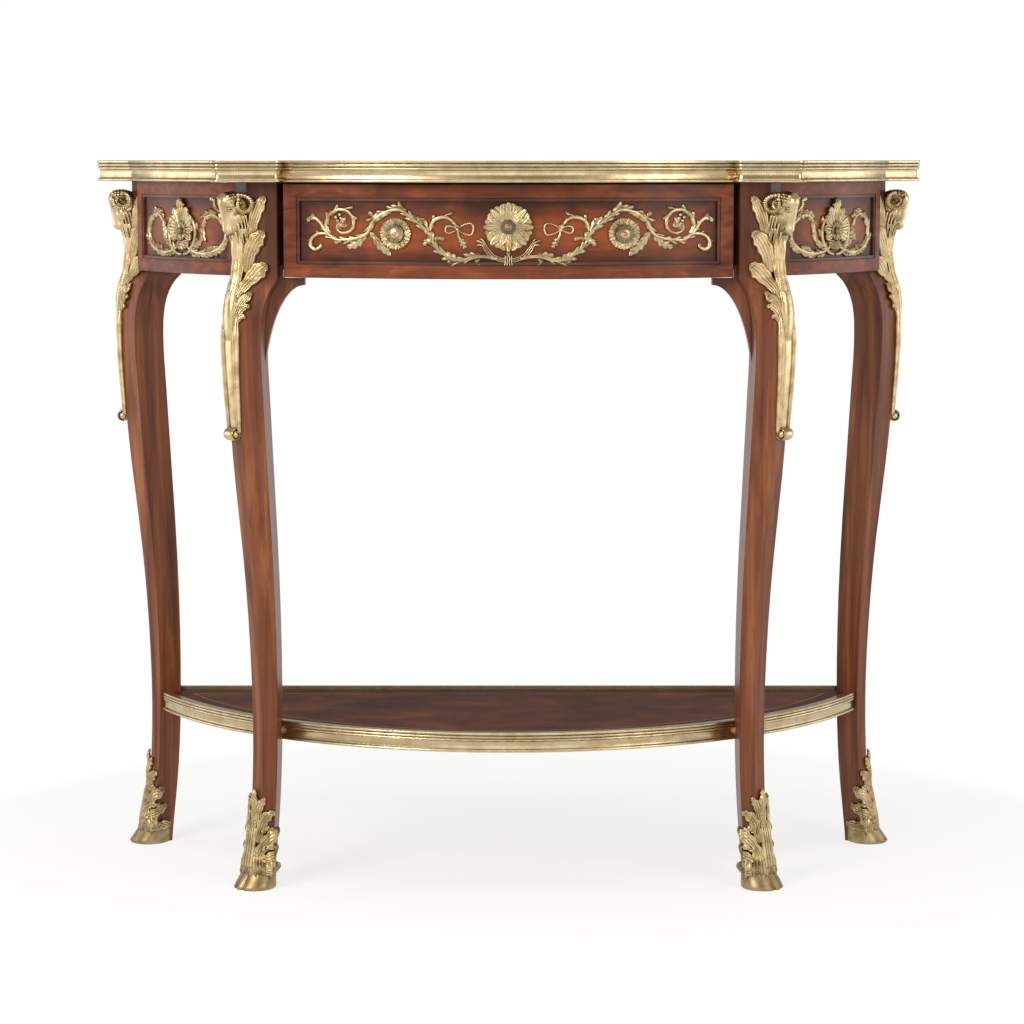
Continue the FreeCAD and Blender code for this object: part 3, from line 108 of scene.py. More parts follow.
@dataclass(frozen=True)
class TableSizes:
    """Sizes of the CAD part that the looks are set out from, in millimetres.

    Attributes:
        back: Y of the straight back edge.
        arc_setback: How far behind it the bow of the top has its centre.
        apron: Height of the lower edge of the apron.
        under_top: Height of the underside of the top.
        front_post: Distance of a front post from the middle and from the back.
        rear_post: The same for a rear post.
        front_angle: How far a front leg is turned out, in degrees.
        post_cant: Half width of the flat outer face of a leg.
        foot_half: Half width of a leg near the floor.
        drawer_bow: Radius of the drawer front.
        drawer_reach: Distance from the back to the drawer front.
        field_depth: Depth of a sunk field.
        field_border: Width of the border round it.
        drawer_half: Half width of the drawer front.
        drawer_top: Height of its upper edge.
        side_radius: Radius of the side panels.
        side_field: Directions of the ends of a side panel's sunk field, in radians from the front.
        mount_bearing: Direction of the middle of a side panel's mount, in degrees from the front.
        shelf_radius: Radius of the shelf.
        shelf_top: Height of the shelf's rim.
        shelf_back: Distance of the shelf's veneer from the back.
        shelf_band: Height of the shelf's brass edge.
        shelf_reeds: Lower and upper edge of its milled strip, over its foot.
        top_radius: Radius of the top.
        top_reeds: Lower and upper edge of the milled strip of the top's brass edge, over its foot.
        reed_pitch: Distance between the grooves of a milled strip.
        edge_inset: How far the veneer of a board ends inside its radius.
    """

    back: float = 214.0
    arc_setback: float = 110.0
    apron: float = 750.0
    under_top: float = 863.0
    front_post: Point2 = (320.015, 335.975)
    rear_post: Point2 = (482.03, 80.0)
    front_angle: float = 51.0
    post_cant: float = 10.77
    foot_half: float = 24.0
    drawer_bow: float = 610.0
    drawer_reach: float = 407.0
    field_depth: float = 4.0
    field_border: float = 16.0
    drawer_half: float = 269.2
    drawer_top: float = 861.0
    side_radius: float = 523.0
    side_field: Point2 = (0.7076, 1.0925)
    mount_bearing: float = 51.0
    shelf_radius: float = 500.0
    shelf_top: float = 203.5
    shelf_back: float = 67.0
    shelf_band: float = 24.0
    shelf_reeds: Point2 = (4.5, 12.8)
    top_radius: float = 538.0
    top_reeds: Point2 = (4.8, 13.8)
    reed_pitch: float = 2.4
    edge_inset: float = 11.0

    @property
    def arc_y(self) -> float:
        """Y of the centre of the bow of the top."""
        return self.back + self.arc_setback

    @property
    def drawer_y(self) -> float:
        """Y of the centre of the bow of the drawer front."""
        return self.back - self.drawer_reach + self.drawer_bow

    @property
    def drawer_middle(self) -> float:
        """Height of the middle of the drawer front."""
        return (self.apron + self.drawer_top) / 2

    def leg_place(self, corner: Corner) -> Tuple[float, float, float]:
        """Where the post face of a leg is, and which way it looks.

        Args:
            corner: The leg.

        Returns:
            X and Y of the post face, and the direction of its outward axis in degrees.
        """
        sign = -1.0 if corner.value.endswith("left") else 1.0
        if corner.value.startswith("front"):
            (out, ahead), turn = self.front_post, self.front_angle
        else:
            (out, ahead), turn = self.rear_post, 90.0
        return sign * out, self.back - ahead, -90.0 + sign * turn


SIZES = TableSizes()


# Shader graphs
class Graph:
    """Short way to write the nodes of one material."""

    def __init__(self, name: str) -> None:
        """Start an empty material.

        Args:
            name: Name of the material.
        """
        self.material = bpy.data.materials.new(name)
        self.material.use_nodes = True
        self.tree = self.material.node_tree
        self.tree.nodes.clear()

    def node(self, kind: str, inputs: Optional[Dict[Any, Any]] = None, **settings: Any) -> bpy.types.Node:
        """Add a node.

        Args:
            kind: Node type.
            inputs: Values or sockets by input name or number.
            settings: Properties of the node.

        Returns:
            The new node.
        """
        made = self.tree.nodes.new(kind)
        for key, value in settings.items():
            setattr(made, key, value)
        for key, value in (inputs or {}).items():
            self.feed(made.inputs[key], value)
        return made

    def feed(self, socket: Socket, value: Any) -> None:
        """Link a socket to another one, or set its value.

        Args:
            socket: Input to feed.
            value: An output socket, a number, a colour or a vector.
        """
        if isinstance(value, Socket):
            self.tree.links.new(value, socket)
        elif isinstance(value, (int, float)):
            socket.default_value = value
        elif socket.type == "RGBA" and len(value) == 3:
            socket.default_value = (*value, 1.0)
        else:
            socket.default_value = value

    def math(self, operation: str, first: Any, second: Any = 0.0, clamp: bool = False) -> Socket:
        """Add a math node."""
        made = self.node("ShaderNodeMath", {0: first, 1: second}, operation=operation, use_clamp=clamp)
        return made.outputs[0]

    def times(self, first: Any, second: Any) -> Socket:
        """Product of two numbers or sockets."""
        return self.math("MULTIPLY", first, second)

    def plus(self, first: Any, second: Any) -> Socket:
        """Sum of two numbers or sockets."""
        return self.math("ADD", first, second)

    def minus(self, first: Any, second: Any) -> Socket:
        """First number or socket less the second."""
        return self.math("SUBTRACT", first, second)

    def length(self, first: Any, second: Any) -> Socket:
        """Length of a flat vector, from its two parts."""
        return self.math("SQRT", self.plus(self.times(first, first), self.times(second, second)))

    def step(self, value: Any, low: float, high: float) -> Socket:
        """Smooth step between two limits."""
        inputs = {"Value": value, "From Min": low, "From Max": high}
        return self.node("ShaderNodeMapRange", inputs, interpolation_type="SMOOTHSTEP").outputs["Result"]

    def mix(self, factor: Any, first: Any, second: Any, blend: str = "MIX") -> Socket:
        """Mix two colours.

        Args:
            factor: Share of the second.
            first: First colour.
            second: Second colour.
            blend: How they are mixed.

        Returns:
            The mixed colour.
        """
        made = self.node("ShaderNodeMix", data_type="RGBA", blend_type=blend)
        self.feed(made.inputs[0], factor)
        self.feed(made.inputs[6], first)
        self.feed(made.inputs[7], second)
        return made.outputs[2]

    def ramp(self, factor: Any, stops: Sequence[Tuple[float, Colour]]) -> Socket:
        """Colour ramp.

        Args:
            factor: Place on the ramp.
            stops: Places and colours.

        Returns:
            The colour.
        """
        made = self.node("ShaderNodeValToRGB", {"Fac": factor})
        elements = made.color_ramp.elements
        while len(elements) < len(stops):
            elements.new(0.5)
        for element, (place, colour) in zip(elements, stops):
            element.position = place
            element.color = (*colour, 1.0)
        return made.outputs["Color"]

    def noise(self, vector: Any, scale: float, detail: float = 4.0, distortion: float = 0.0,
              roughness: float = 0.55) -> Socket:
        """Noise texture.

        Args:
            vector: Where it is looked up.
            scale: How fine it is.
            detail: How many layers it has.
            distortion: How twisted it is.
            roughness: Weight of the fine layers.

        Returns:
            The value, 0 to 1.
        """
        inputs = {"Vector": vector, "Scale": scale, "Detail": detail, "Distortion": distortion,
                  "Roughness": roughness}
        return self.node("ShaderNodeTexNoise", inputs).outputs["Fac"]

    def scaled(self, vector: Any, scale: Point3) -> Socket:
        """Stretch a vector."""
        return self.node("ShaderNodeVectorMath", {0: vector, 1: scale}, operation="MULTIPLY").outputs[0]

    def place(self) -> Tuple[Socket, ...]:
        """The point in the object's own frame, in metres.

        Returns:
            The vector, then its X, Y and Z.
        """
        vector = self.node("ShaderNodeTexCoord").outputs["Object"]
        split = self.node("ShaderNodeSeparateXYZ", {0: vector}).outputs
        return vector, split[0], split[1], split[2]

    def bow_angle(self, x: Any, y: Any, centre: float) -> Socket:
        """Angle of a point round the centre of a bow, 0 at the front."""
        return self.math("ARCTAN2", x, self.minus(centre, y))

    def finish(self, **inputs: Any) -> Material:
        """Close the graph with the surface shader.

        Args:
            inputs: Values of the surface shader, with spaces as underscores.

        Returns:
            The material.
        """
        named = {key.replace("_", " "): value for key, value in inputs.items()}
        shader = self.node("ShaderNodeBsdfPrincipled", named)
        output = self.node("ShaderNodeOutputMaterial")
        self.tree.links.new(shader.outputs[0], output.inputs["Surface"])
        return self.material


class PaintedFieldLight(Enum):
    """Which panel gets painted light in the middle of its sunk field and painted shade towards its border."""

    NONE = "none"
    DRAWER = "drawer"
    SIDE = "side"


class Inlay(Enum):
    """Which board has lines of inlay along its edges."""

    NONE = "none"
    TOP = "top"
    SHELF = "shelf"


@dataclass(frozen=True)
class WoodFinish:
    """Polished wood with streaked grain.

    Attributes:
        name: Name of the material.
        dark: Colour of the dark streaks.
        middle: Main colour.
        light: Colour of the light streaks.
        grain: How fine the grain is along X, Y and Z.
        mottle: Strength of the cloudy figure.
        roughness: Roughness of the polish.
        coat: Strength of the clear coat.
        edge: How much painted shade the edges and corners get.
        gloss: Strength of the mirror-like reflection.
        shade_under_top: Strength of the painted shade on the leg from about the apron upward, under the top.
        field_light: Which panel gets painted light in the middle of its sunk field and painted shade towards
            its border.
        inlay: Which board has inlay.
    """

    name: str
    dark: Colour
    middle: Colour
    light: Colour
    grain: Point3
    mottle: float = 0.4
    roughness: float = 0.34
    coat: float = 0.08
    edge: float = 0.5
    gloss: float = 0.18
    shade_under_top: float = 0.0
    field_light: PaintedFieldLight = PaintedFieldLight.NONE
    inlay: Inlay = Inlay.NONE

    def material(self) -> Material:
        """Build the material.

        Returns:
            The material.
        """
        graph = Graph(self.name)
        vector, x, y, z = graph.place()
        streaks = graph.noise(graph.scaled(vector, self.grain), 1.0, 5.0, 0.6)
        pores = graph.noise(graph.scaled(vector, tuple(6 * part for part in self.grain)), 1.0, 2.0)
        clouds = graph.noise(vector, 16.0, 3.0, 0.8)
        value = graph.plus(graph.times(streaks, 1.0 - self.mottle), graph.times(clouds, self.mottle))
        colour = graph.ramp(value, ((0.3, self.dark), (0.5, self.middle), (0.7, self.light)))
        colour = graph.mix(graph.times(graph.step(pores, 0.56, 0.72), 0.35), colour, self.dark)
        # Painted shade: darker along edges and in corners, found from the bevelled normal.
        bevel = graph.node("ShaderNodeBevel", {"Radius": 1.6 * MM}, samples=4).outputs[0]
        plain = graph.node("ShaderNodeNewGeometry").outputs["Normal"]
        facing = graph.node("ShaderNodeVectorMath", {0: bevel, 1: plain}, operation="DOT_PRODUCT")
        corner = graph.step(graph.minus(1.0, facing.outputs["Value"]), 0.01, 0.22)
        colour = graph.mix(graph.times(corner, self.edge), colour, CORNER_SHADE)
        # Painted shade: the leg darker from about the apron upward, where the top shades it.
        if self.shade_under_top > 0.0:
            dark = graph.step(z, (SIZES.apron - 40.0) * MM, (SIZES.apron + 30.0) * MM)
            colour = graph.mix(graph.times(dark, self.shade_under_top), colour, POST_SHADE)
        if self.field_light is not PaintedFieldLight.NONE:
            colour = self._paint_field_light(graph, colour, x, y, z, clouds)
        if self.inlay is not Inlay.NONE:
            colour = self._inlay(graph, colour, x, y)
        bump = graph.node("ShaderNodeBump", {"Strength": 0.08, "Distance": 0.3 * MM, "Height": pores,
                                             "Normal": bevel}).outputs[0]
        rough = graph.plus(self.roughness, graph.times(graph.minus(streaks, 0.5), 0.12))
        return graph.finish(Base_Color=colour, Roughness=rough, Normal=bump, Coat_Weight=self.coat,
                            Coat_Roughness=0.16, Specular_IOR_Level=self.gloss)

    def _paint_field_light(self, graph: Graph, colour: Any, x: Any, y: Any, z: Any, clouds: Any) -> Socket:
        """Paint light into the middle of a panel's sunk field and paint shade towards its border.

        Args:
            graph: The graph.
            colour: Colour so far.
            x: X of the point.
            y: Y of the point.
            z: Z of the point.
            clouds: Cloudy noise.

        Returns:
            The new colour.
        """
        # Painted light: a lighter, redder pool in the middle of the field. Painted shade: darker towards its
        # border.
        upward_pace, waver_size = 1.5, 0.036
        fade_start, fade_end = -0.002, 0.048
        light_pool_share, border_shade_share = 0.5, 0.86
        border = SIZES.field_border * MM
        if self.field_light is PaintedFieldLight.DRAWER:
            across = graph.minus(SIZES.drawer_half * MM - border, graph.math("ABSOLUTE", x))
            top = SIZES.drawer_top
        else:
            angle = graph.bow_angle(graph.math("ABSOLUTE", x), y, SIZES.arc_y * MM)
            start, end = SIZES.side_field
            half = graph.math("ABSOLUTE", graph.minus(angle, (start + end) / 2))
            across = graph.times(graph.minus((end - start) / 2, half), SIZES.side_radius * MM)
            top = SIZES.under_top
        low, high = SIZES.apron * MM + border, top * MM - border
        upward = graph.minus((high - low) / 2, graph.math("ABSOLUTE", graph.minus(z, (high + low) / 2)))
        upward = graph.times(upward, upward_pace)
        inside = graph.math("MINIMUM", across, upward)
        waver = graph.times(graph.minus(clouds, 0.5), waver_size)
        glow = graph.step(graph.plus(inside, waver), fade_start, fade_end)
        shown = graph.math("GREATER_THAN", inside, 0.0)
        dark = graph.times(graph.minus(1.0, glow), shown)
        light_pool = graph.times(graph.times(glow, shown), light_pool_share)
        # The pool of painted light, then the painted shade at the border.
        colour = graph.mix(light_pool, colour, FIELD_PAINTED_LIGHT)
        return graph.mix(graph.times(dark, border_shade_share), colour, FIELD_PAINTED_SHADE)

    def _inlay(self, graph: Graph, colour: Any, x: Any, y: Any) -> Socket:
        """Draw a cross-grained border with a thin light line beside it.

        Args:
            graph: The graph.
            colour: Colour so far.
            x: X of the point.
            y: Y of the point.

        Returns:
            The new colour.
        """
        shelf = self.inlay is Inlay.SHELF
        radius = (SIZES.shelf_radius if shelf else SIZES.top_radius) * MM - SIZES.edge_inset * MM
        back = (SIZES.back - (SIZES.shelf_back if shelf else 0.0)) * MM
        ahead = graph.minus(SIZES.arc_y * MM, y)
        out = graph.length(x, ahead)
        from_bow = graph.minus(radius, out)
        from_back = graph.minus(back, y)
        near = graph.math("MINIMUM", from_bow, from_back)
        band_end, line_start, line_end = (0.0302, 0.0296), (0.0286, 0.0290), (0.0308, 0.0304)
        band = graph.step(near, *band_end)
        line = graph.times(graph.step(near, *line_start), graph.step(near, *line_end))
        angle = graph.bow_angle(x, y, SIZES.arc_y * MM)
        spoke = graph.times(angle, 90.0)
        rays = graph.node("ShaderNodeCombineXYZ", {0: spoke, 1: graph.times(out, 8.0)}).outputs[0]
        cross = graph.ramp(graph.noise(rays, 1.0, 3.0), ((0.35, self.dark), (0.65, self.middle)))
        colour = graph.mix(graph.times(band, 0.8), colour, cross)
        return graph.mix(line, colour, INLAY_LINE)


@dataclass(frozen=True)
class MetalFinish:
    """Gilt bronze or brass.

    Attributes:
        name: Name of the material.
        bright: Colour of the burnished parts.
        dull: Colour of the worn parts.
        hollow: Colour of the hollows, for their painted shade and the real darkening of the bronze there.
        roughness: Roughness of the burnished parts.
        hollow_shade_and_patina: How dark the hollows are: painted shade from the casting's shade and ambient
            occlusion, together with the real darkening of the bronze there.
        reeds: Lower and upper height of a milled strip, in metres, or None. Its grooves are painted as shade.
    """

    name: str
    bright: Colour
    dull: Colour
    hollow: Colour
    roughness: float = 0.3
    hollow_shade_and_patina: float = 1.0
    reeds: Optional[Tuple[float, float]] = None

    def material(self) -> Material:
        """Build the material.

        Returns:
            The material.
        """
        graph = Graph(self.name)
        vector, x, y, z = graph.place()
        wear = graph.noise(vector, 60.0, 3.0, 0.3)
        colour = graph.mix(graph.step(wear, 0.35, 0.7), self.bright, self.dull)
        rough = graph.plus(self.roughness, graph.times(wear, 0.08))
        bevel = graph.node("ShaderNodeBevel", {"Radius": 0.6 * MM}, samples=4).outputs[0]
        # Painted shade in the hollows, from the shade of each casting point and ambient occlusion, together
        # with the real darkening of the bronze there.
        shade = graph.node("ShaderNodeAttribute", attribute_name="shade").outputs["Fac"]
        occluded = graph.node("ShaderNodeAmbientOcclusion", {"Distance": 7.0 * MM}, samples=8,
                              only_local=True).outputs["AO"]
        deep = graph.step(occluded, 0.9, 0.3)
        shade_and_patina = graph.math("MAXIMUM", graph.times(shade, 0.9), deep)
        shade_and_patina = graph.math("MULTIPLY", shade_and_patina, self.hollow_shade_and_patina, clamp=True)
        colour = graph.mix(shade_and_patina, colour, self.hollow)
        rough = graph.plus(rough, graph.times(shade_and_patina, 0.25))
        if self.reeds is not None:
            angle = graph.bow_angle(x, y, SIZES.arc_y * MM)
            grooves = 2 * math.pi * SIZES.top_radius / SIZES.reed_pitch
            wave = graph.math("SINE", graph.times(angle, grooves))
            foot, head = self.reeds
            fade = 0.5 * MM
            inside = graph.times(graph.step(z, foot, foot + fade), graph.step(z, head, head - fade))
            # Painted shade: the grooves of the milled strip are drawn as dark lines in the colour.
            groove = graph.times(graph.step(wave, 0.1, -0.9), inside)
            colour = graph.mix(graph.times(groove, 0.22), colour, self.hollow)
        return graph.finish(Base_Color=colour, Metallic=1.0, Roughness=rough, Normal=bevel)


@dataclass(frozen=True)
class PlainFinish:
    """Plain colour, for hidden wood and steel.

    Attributes:
        name: Name of the material.
        colour: Its colour.
        roughness: Its roughness.
        metallic: 1 for metal.
    """

    name: str
    colour: Colour
    roughness: float = 0.6
    metallic: float = 0.0

    def material(self) -> Material:
        """Build the material.

        Returns:
            The material.
        """
        graph = Graph(self.name)
        vector = graph.place()[0]
        grain = graph.noise(graph.scaled(vector, (8.0, 60.0, 60.0)), 1.0, 3.0)
        darker = tuple(0.6 * part for part in self.colour)
        colour = graph.mix(graph.step(grain, 0.35, 0.7), self.colour, darker)
        return graph.finish(Base_Color=colour, Roughness=self.roughness, Metallic=self.metallic)


# Meshes of the castings
@dataclass
class Casting:
    """Mesh under construction, in millimetres, with a shade for each point: 0 on a ridge, 1 in a hollow.

    Attributes:
        points: Blocks of points.
        faces: Blocks of four-sided faces.
        shades: Shade of each point, in the same blocks.
        count: How many points there are so far.
    """

    points: List[Array] = field(default_factory=list)
    faces: List[Array] = field(default_factory=list)
    shades: List[Array] = field(default_factory=list)
    count: int = 0

    def add(self, points: Array, faces: Array, shades: Array) -> None:
        """Add points and faces.

        Args:
            points: Points, one row each.
            faces: Corners of four-sided faces, counted from the first of these points.
            shades: Shade of each point.
        """
        self.points.append(points.reshape(-1, 3))
        self.faces.append(faces.reshape(-1, 4) + self.count)
        self.shades.append(np.clip(shades.reshape(-1), 0.0, 1.0))
        self.count += points.reshape(-1, 3).shape[0]

    def grid(self, points: Array, shades: Array, wrap: bool = True) -> None:
        """Add a grid of points as a skin.

        Args:
            points: Rows and columns of points.
            shades: Shade of each.
            wrap: Whether the last column joins the first.
        """
        rows, columns = points.shape[:2]
        index = np.arange(rows * columns).reshape(rows, columns)
        if wrap:
            index = np.concatenate([index, index[:, :1]], axis=1)
        quads = np.stack([index[:-1, :-1], index[1:, :-1], index[1:, 1:], index[:-1, 1:]], axis=-1)
        self.add(points, quads, np.broadcast_to(shades, (rows, columns)))

    def merge(self, other: "Casting", wrap: Optional[Wrap] = None) -> None:
        """Add another casting.

        Args:
            other: The casting to add.
            wrap: How its points are moved.
        """
        for points, faces, shades in zip(other.points, other.faces, other.shades):
            moved = points if wrap is None else wrap(points)
            self.points.append(moved)
            self.faces.append(faces + self.count)
            self.shades.append(shades)
        self.count += other.count

    def mesh(self, name: str, material: Material) -> bpy.types.Mesh:
        """Turn the casting into a mesh in metres.

        Args:
            name: Name of the mesh.
            material: Its material.

        Returns:
            The mesh.
        """
        points = np.concatenate(self.points) * MM
        faces = np.concatenate(self.faces)
        made = bpy.data.meshes.new(name)
        made.from_pydata(points.tolist(), [], faces.tolist())
        shade = made.attributes.new("shade", "FLOAT", "POINT")
        shade.data.foreach_set("value", np.concatenate(self.shades).astype(np.float32))
        made.materials.append(material)
        tidy = bmesh.new()
        tidy.from_mesh(made)
        bmesh.ops.dissolve_degenerate(tidy, dist=1e-7, edges=tidy.edges)
        bmesh.ops.recalc_face_normals(tidy, faces=tidy.faces)
        tidy.to_mesh(made)
        tidy.free()
        made.shade_smooth()
        return made


def curve(points: Sequence[Sequence[float]], count: int) -> Array:
    """Smooth curve through points, evenly spaced along its length.

    Args:
        points: Points that it goes through.
        count: How many points are made.

    Returns:
        The points of the curve.
    """
    keys = np.asarray(points, float)
    padded = np.vstack([2 * keys[0] - keys[1], keys, 2 * keys[-1] - keys[-2]])
    dense = []
    for first, second, third, fourth in zip(padded, padded[1:], padded[2:], padded[3:]):
        for share in np.linspace(0, 1, 12, endpoint=False):
            a = 2 * second
            b = third - first
            c = 2 * first - 5 * second + 4 * third - fourth
            d = -first + 3 * second - 3 * third + fourth
            dense.append(0.5 * (a + b * share + c * share ** 2 + d * share ** 3))
    dense.append(keys[-1])
    line = np.array(dense)
    length = np.concatenate([[0], np.cumsum(np.linalg.norm(np.diff(line, axis=0), axis=1))])
    wanted = np.linspace(0, length[-1], count)
    return np.stack([np.interp(wanted, length, line[:, axis]) for axis in range(line.shape[1])], axis=1)


def unit(vectors: Array) -> Array:
    """Vectors of length one."""
    return vectors / np.maximum(np.linalg.norm(vectors, axis=-1, keepdims=True), 1e-9)


def profile(stops: Sequence[Point2], count: int) -> Array:
    """Values along a length, smooth between stops.

    Args:
        stops: Shares of the length and values there.
        count: How many values are made.

    Returns:
        The values.
    """
    places = np.array([stop[0] for stop in stops])
    values = np.array([stop[1] for stop in stops])
    wanted = np.linspace(0, 1, count)
    index = np.clip(np.searchsorted(places, wanted, side="right") - 1, 0, len(places) - 2)
    share = (wanted - places[index]) / np.maximum(places[index + 1] - places[index], 1e-9)
    share = share * share * (3 - 2 * share)
    return values[index] * (1 - share) + values[index + 1] * share


class Relief(Casting):
    """Ornament drawn flat: X to the side, Y upward and Z out of the ground, all in millimetres."""

    @staticmethod
    def _rib(path: Sequence[Point2], count: int) -> Tuple[Array, Array, Array]:
        """Points along a path and the directions there.

        Args:
            path: Points of the path.
            count: How many points are made.

        Returns:
            The points, the directions ahead and the directions to the left.
        """
        line = curve(path, count)
        ahead = unit(np.gradient(line, axis=0))
        return line, ahead, np.stack([-ahead[:, 1], ahead[:, 0]], axis=1)

    def _close(self, front: Array, under: Array, shade: Array) -> None:
        """Join the two sides of a leaf, close its ends and add it.

        Args:
            front: Rows of points of the upper side.
            under: Rows of points of the under side, from right to left.
            shade: Shade of the upper side. The under side is dark.
        """
        skin = np.concatenate([front, under], axis=1)
        ends = skin.mean(axis=1, keepdims=True)
        columns = skin.shape[1]
        skin = np.concatenate([np.repeat(ends[:1], columns, 1), skin, np.repeat(ends[-1:], columns, 1)])
        shades = np.concatenate([shade, np.ones_like(shade)], axis=1)
        self.grid(skin, np.concatenate([shades[:1], shades, shades[-1:]]))

    def stem(self, path: Sequence[Point2], width: Sequence[Point2], rise: float = 1.0, reeds: int = 0,
             lift: Sequence[Point2] = ((0, 0), (1, 0)), count: int = 60) -> None:
        """Round stem that follows a path.

        Args:
            path: Points of the path.
            width: Half width along the path.
            rise: Height of the stem as a share of its half width.
            reeds: Number of grooves along it.
            lift: Height of its middle over the ground along the path.
            count: Number of sections.
        """
        line, _, side = self._rib(path, count)
        half = profile(width, count)
        half[0] = half[-1] = 0.02
        half[1] *= 0.7
        half[-2] *= 0.7
        middle = profile(lift, count) + 0.35 * half * rise
        turn = np.linspace(0, 2 * math.pi, 16, endpoint=False)
        ripple = 1.0 - 0.12 * (0.5 + 0.5 * np.cos(turn * 2 * reeds)) if reeds else np.ones_like(turn)
        across = half[:, None] * (np.cos(turn) * ripple)[None]
        height = middle[:, None] + rise * half[:, None] * (np.sin(turn) * ripple)[None]
        flat = line[:, None, :] + side[:, None, :] * across[..., None]
        shade = 0.05 + 0.75 * np.clip(0.45 - np.sin(turn), 0, 1) + (1.0 - ripple) * 3.0
        self.grid(np.concatenate([flat, height[..., None]], axis=-1), shade[None] * np.ones((count, 1)))

    def leaf(self, path: Sequence[Point2], width: float, lobes: int = 4, rise: float = 2.5, lift: float = 1.5,
             sweep: float = 0.6, notch: float = 0.42, root: float = 0.45, count: int = 64,
             columns: int = 17) -> None:
        """Acanthus leaf that follows a path, with lobes, a raised rib and hollows between the lobes.

        Args:
            path: Points of the rib, root first.
            width: Largest half width.
            lobes: Lobes on each side.
            rise: Height of the leaf in its middle.
            lift: How far the tip stands off the ground.
            sweep: How far the lobes point forward.
            notch: Depth of the notches between lobes.
            root: Width at the root as a share of the largest.
            count: Number of sections.
            columns: Points across.
        """
        line, ahead, side = self._rib(path, count)
        along = np.linspace(0, 1, count)
        envelope = profile(((0, root), (0.4, 1.0), (0.75, 0.72), (1, 0.06)), count)
        beat = 0.5 + 0.5 * np.cos(2 * math.pi * (lobes * along ** 0.9 + 0.5))
        edge = width * envelope * (1 - notch * (1 - beat) ** 1.5)
        across = np.linspace(-1, 1, columns)
        spread = np.abs(across)
        vein = 0.5 - 0.5 * np.cos(2 * math.pi * (lobes * (along[:, None] - 0.16 * spread[None]) + 0.5))
        hollow = (1 - vein) * spread[None] ** 0.7
        body = profile(((0, 0.55), (0.35, 1.0), (0.8, 0.8), (1, 0.35)), count)
        rib = np.exp(-(spread / 0.10) ** 2)
        shape = 0.72 * (1 - spread ** 3)[None] + 0.28 * rib[None] - 0.34 * hollow * (1 - spread[None] ** 4)
        height = rise * body[:, None] * shape + lift * (along ** 2)[:, None]
        flat = line[:, None, :] + side[:, None, :] * (edge[:, None] * across[None])[..., None]
        flat = flat + ahead[:, None, :] * (sweep * edge[:, None] * spread[None] ** 1.6)[..., None]
        front = np.concatenate([flat, height[..., None]], axis=-1)
        under = front[:, ::-1].copy()
        under[..., 2] = np.minimum(under[..., 2] - 0.9, lift * (along ** 2)[:, None] - 0.7)
        shade = 0.05 + 0.75 * hollow ** 1.3 + 0.5 * (spread[None] > 0.93)
        shade = shade + 0.35 * np.exp(-((spread - 0.16) / 0.07) ** 2)[None]
        self._close(front, under, shade)

    def blade(self, path: Sequence[Point2], width: float, flutes: int = 5, rise: float = 4.0,
              lift: float = 4.0, root: float = 0.5, notch: float = 0.14, count: int = 60) -> None:
        """Broad leaf with flutes along it and a rounded tip that curls off the ground.

        Args:
            path: Points of the middle of the leaf, root first.
            width: Largest half width.
            flutes: Number of ridges, odd.
            rise: Height of the leaf in its middle.
            lift: How far the tip stands off the ground.
            root: Width at the root as a share of the largest.
            notch: Depth of the waves of its edge.
            count: Number of sections.
        """
        line, ahead, side = self._rib(path, count)
        along = np.linspace(0, 1, count)
        across = np.linspace(-1, 1, 33)
        spread = np.abs(across)
        envelope = profile(((0, root), (0.4, 0.88), (0.72, 1.0), (0.92, 0.66), (1, 0.16)), count)
        beat = 0.5 + 0.5 * np.cos(2 * math.pi * (3.5 * along ** 1.3 + 0.5))
        edge = width * envelope * (1 - notch * (1 - beat) ** 1.5)
        ridge = np.abs(np.cos(0.5 * math.pi * flutes * across)) ** 0.8
        body = profile(((0, 0.6), (0.4, 1.0), (0.85, 0.85), (1, 0.4)), count)
        shape = 0.6 * (1 - spread ** 4) + 0.4 * ridge * (1 - 0.5 * spread ** 2)
        height = rise * body[:, None] * shape[None] + lift * (along ** 2)[:, None]
        height = height - 0.35 * lift * np.clip((along[:, None] - 0.86) / 0.14, 0, 1) ** 2
        flat = line[:, None, :] + side[:, None, :] * (edge[:, None] * across[None])[..., None]
        flat = flat + ahead[:, None, :] * (0.35 * edge[:, None] * (ridge * (1 - spread ** 2))[None]
                                           * along[:, None] ** 4)[..., None]
        front = np.concatenate([flat, height[..., None]], axis=-1)
        under = front[:, ::-1].copy()
        under[..., 2] = np.minimum(under[..., 2] - 1.2, lift * (along ** 2)[:, None] - 0.7)
        shade = 0.03 + 0.5 * (1 - ridge) ** 1.5 + 0.5 * (spread > 0.95)
        shade = shade[None] * (1 - 0.35 * along[:, None])
        self._close(front, under, shade)

    def clothe(self, path: Sequence[Point2], step: float, long: float, width: float,
               rise: float = 2.6) -> None:
        """Set small leaves along a path, by turns on its left and on its right.

        Args:
            path: Points of the path.
            step: Distance between leaves.
            long: Length of a leaf.
            width: Half width of a leaf.
            rise: Height of a leaf.
        """
        last = 199
        line = curve(path, last + 1)
        count = max(1, int(np.linalg.norm(np.diff(line, axis=0), axis=1).sum() / step))
        bend = ((-0.1, 0), (0.4, 0.16), (0.8, 0.3), (1, 0.52))
        for number in range(count):
            index = int((number + 0.5) / count * last)
            ahead = unit(line[min(index + 4, last)] - line[max(index - 4, 0)])
            side = np.array([-ahead[1], ahead[0]]) * (1 if number % 2 else -1)
            start = line[index]
            size = long * (1.0 if number % 3 else 1.3)
            rib = [tuple(start + size * (a * ahead + b * side)) for a, b in bend]
            self.leaf(rib, width, 2, rise, 1.4, 0.4, 0.25, 0.7, 16, 9)

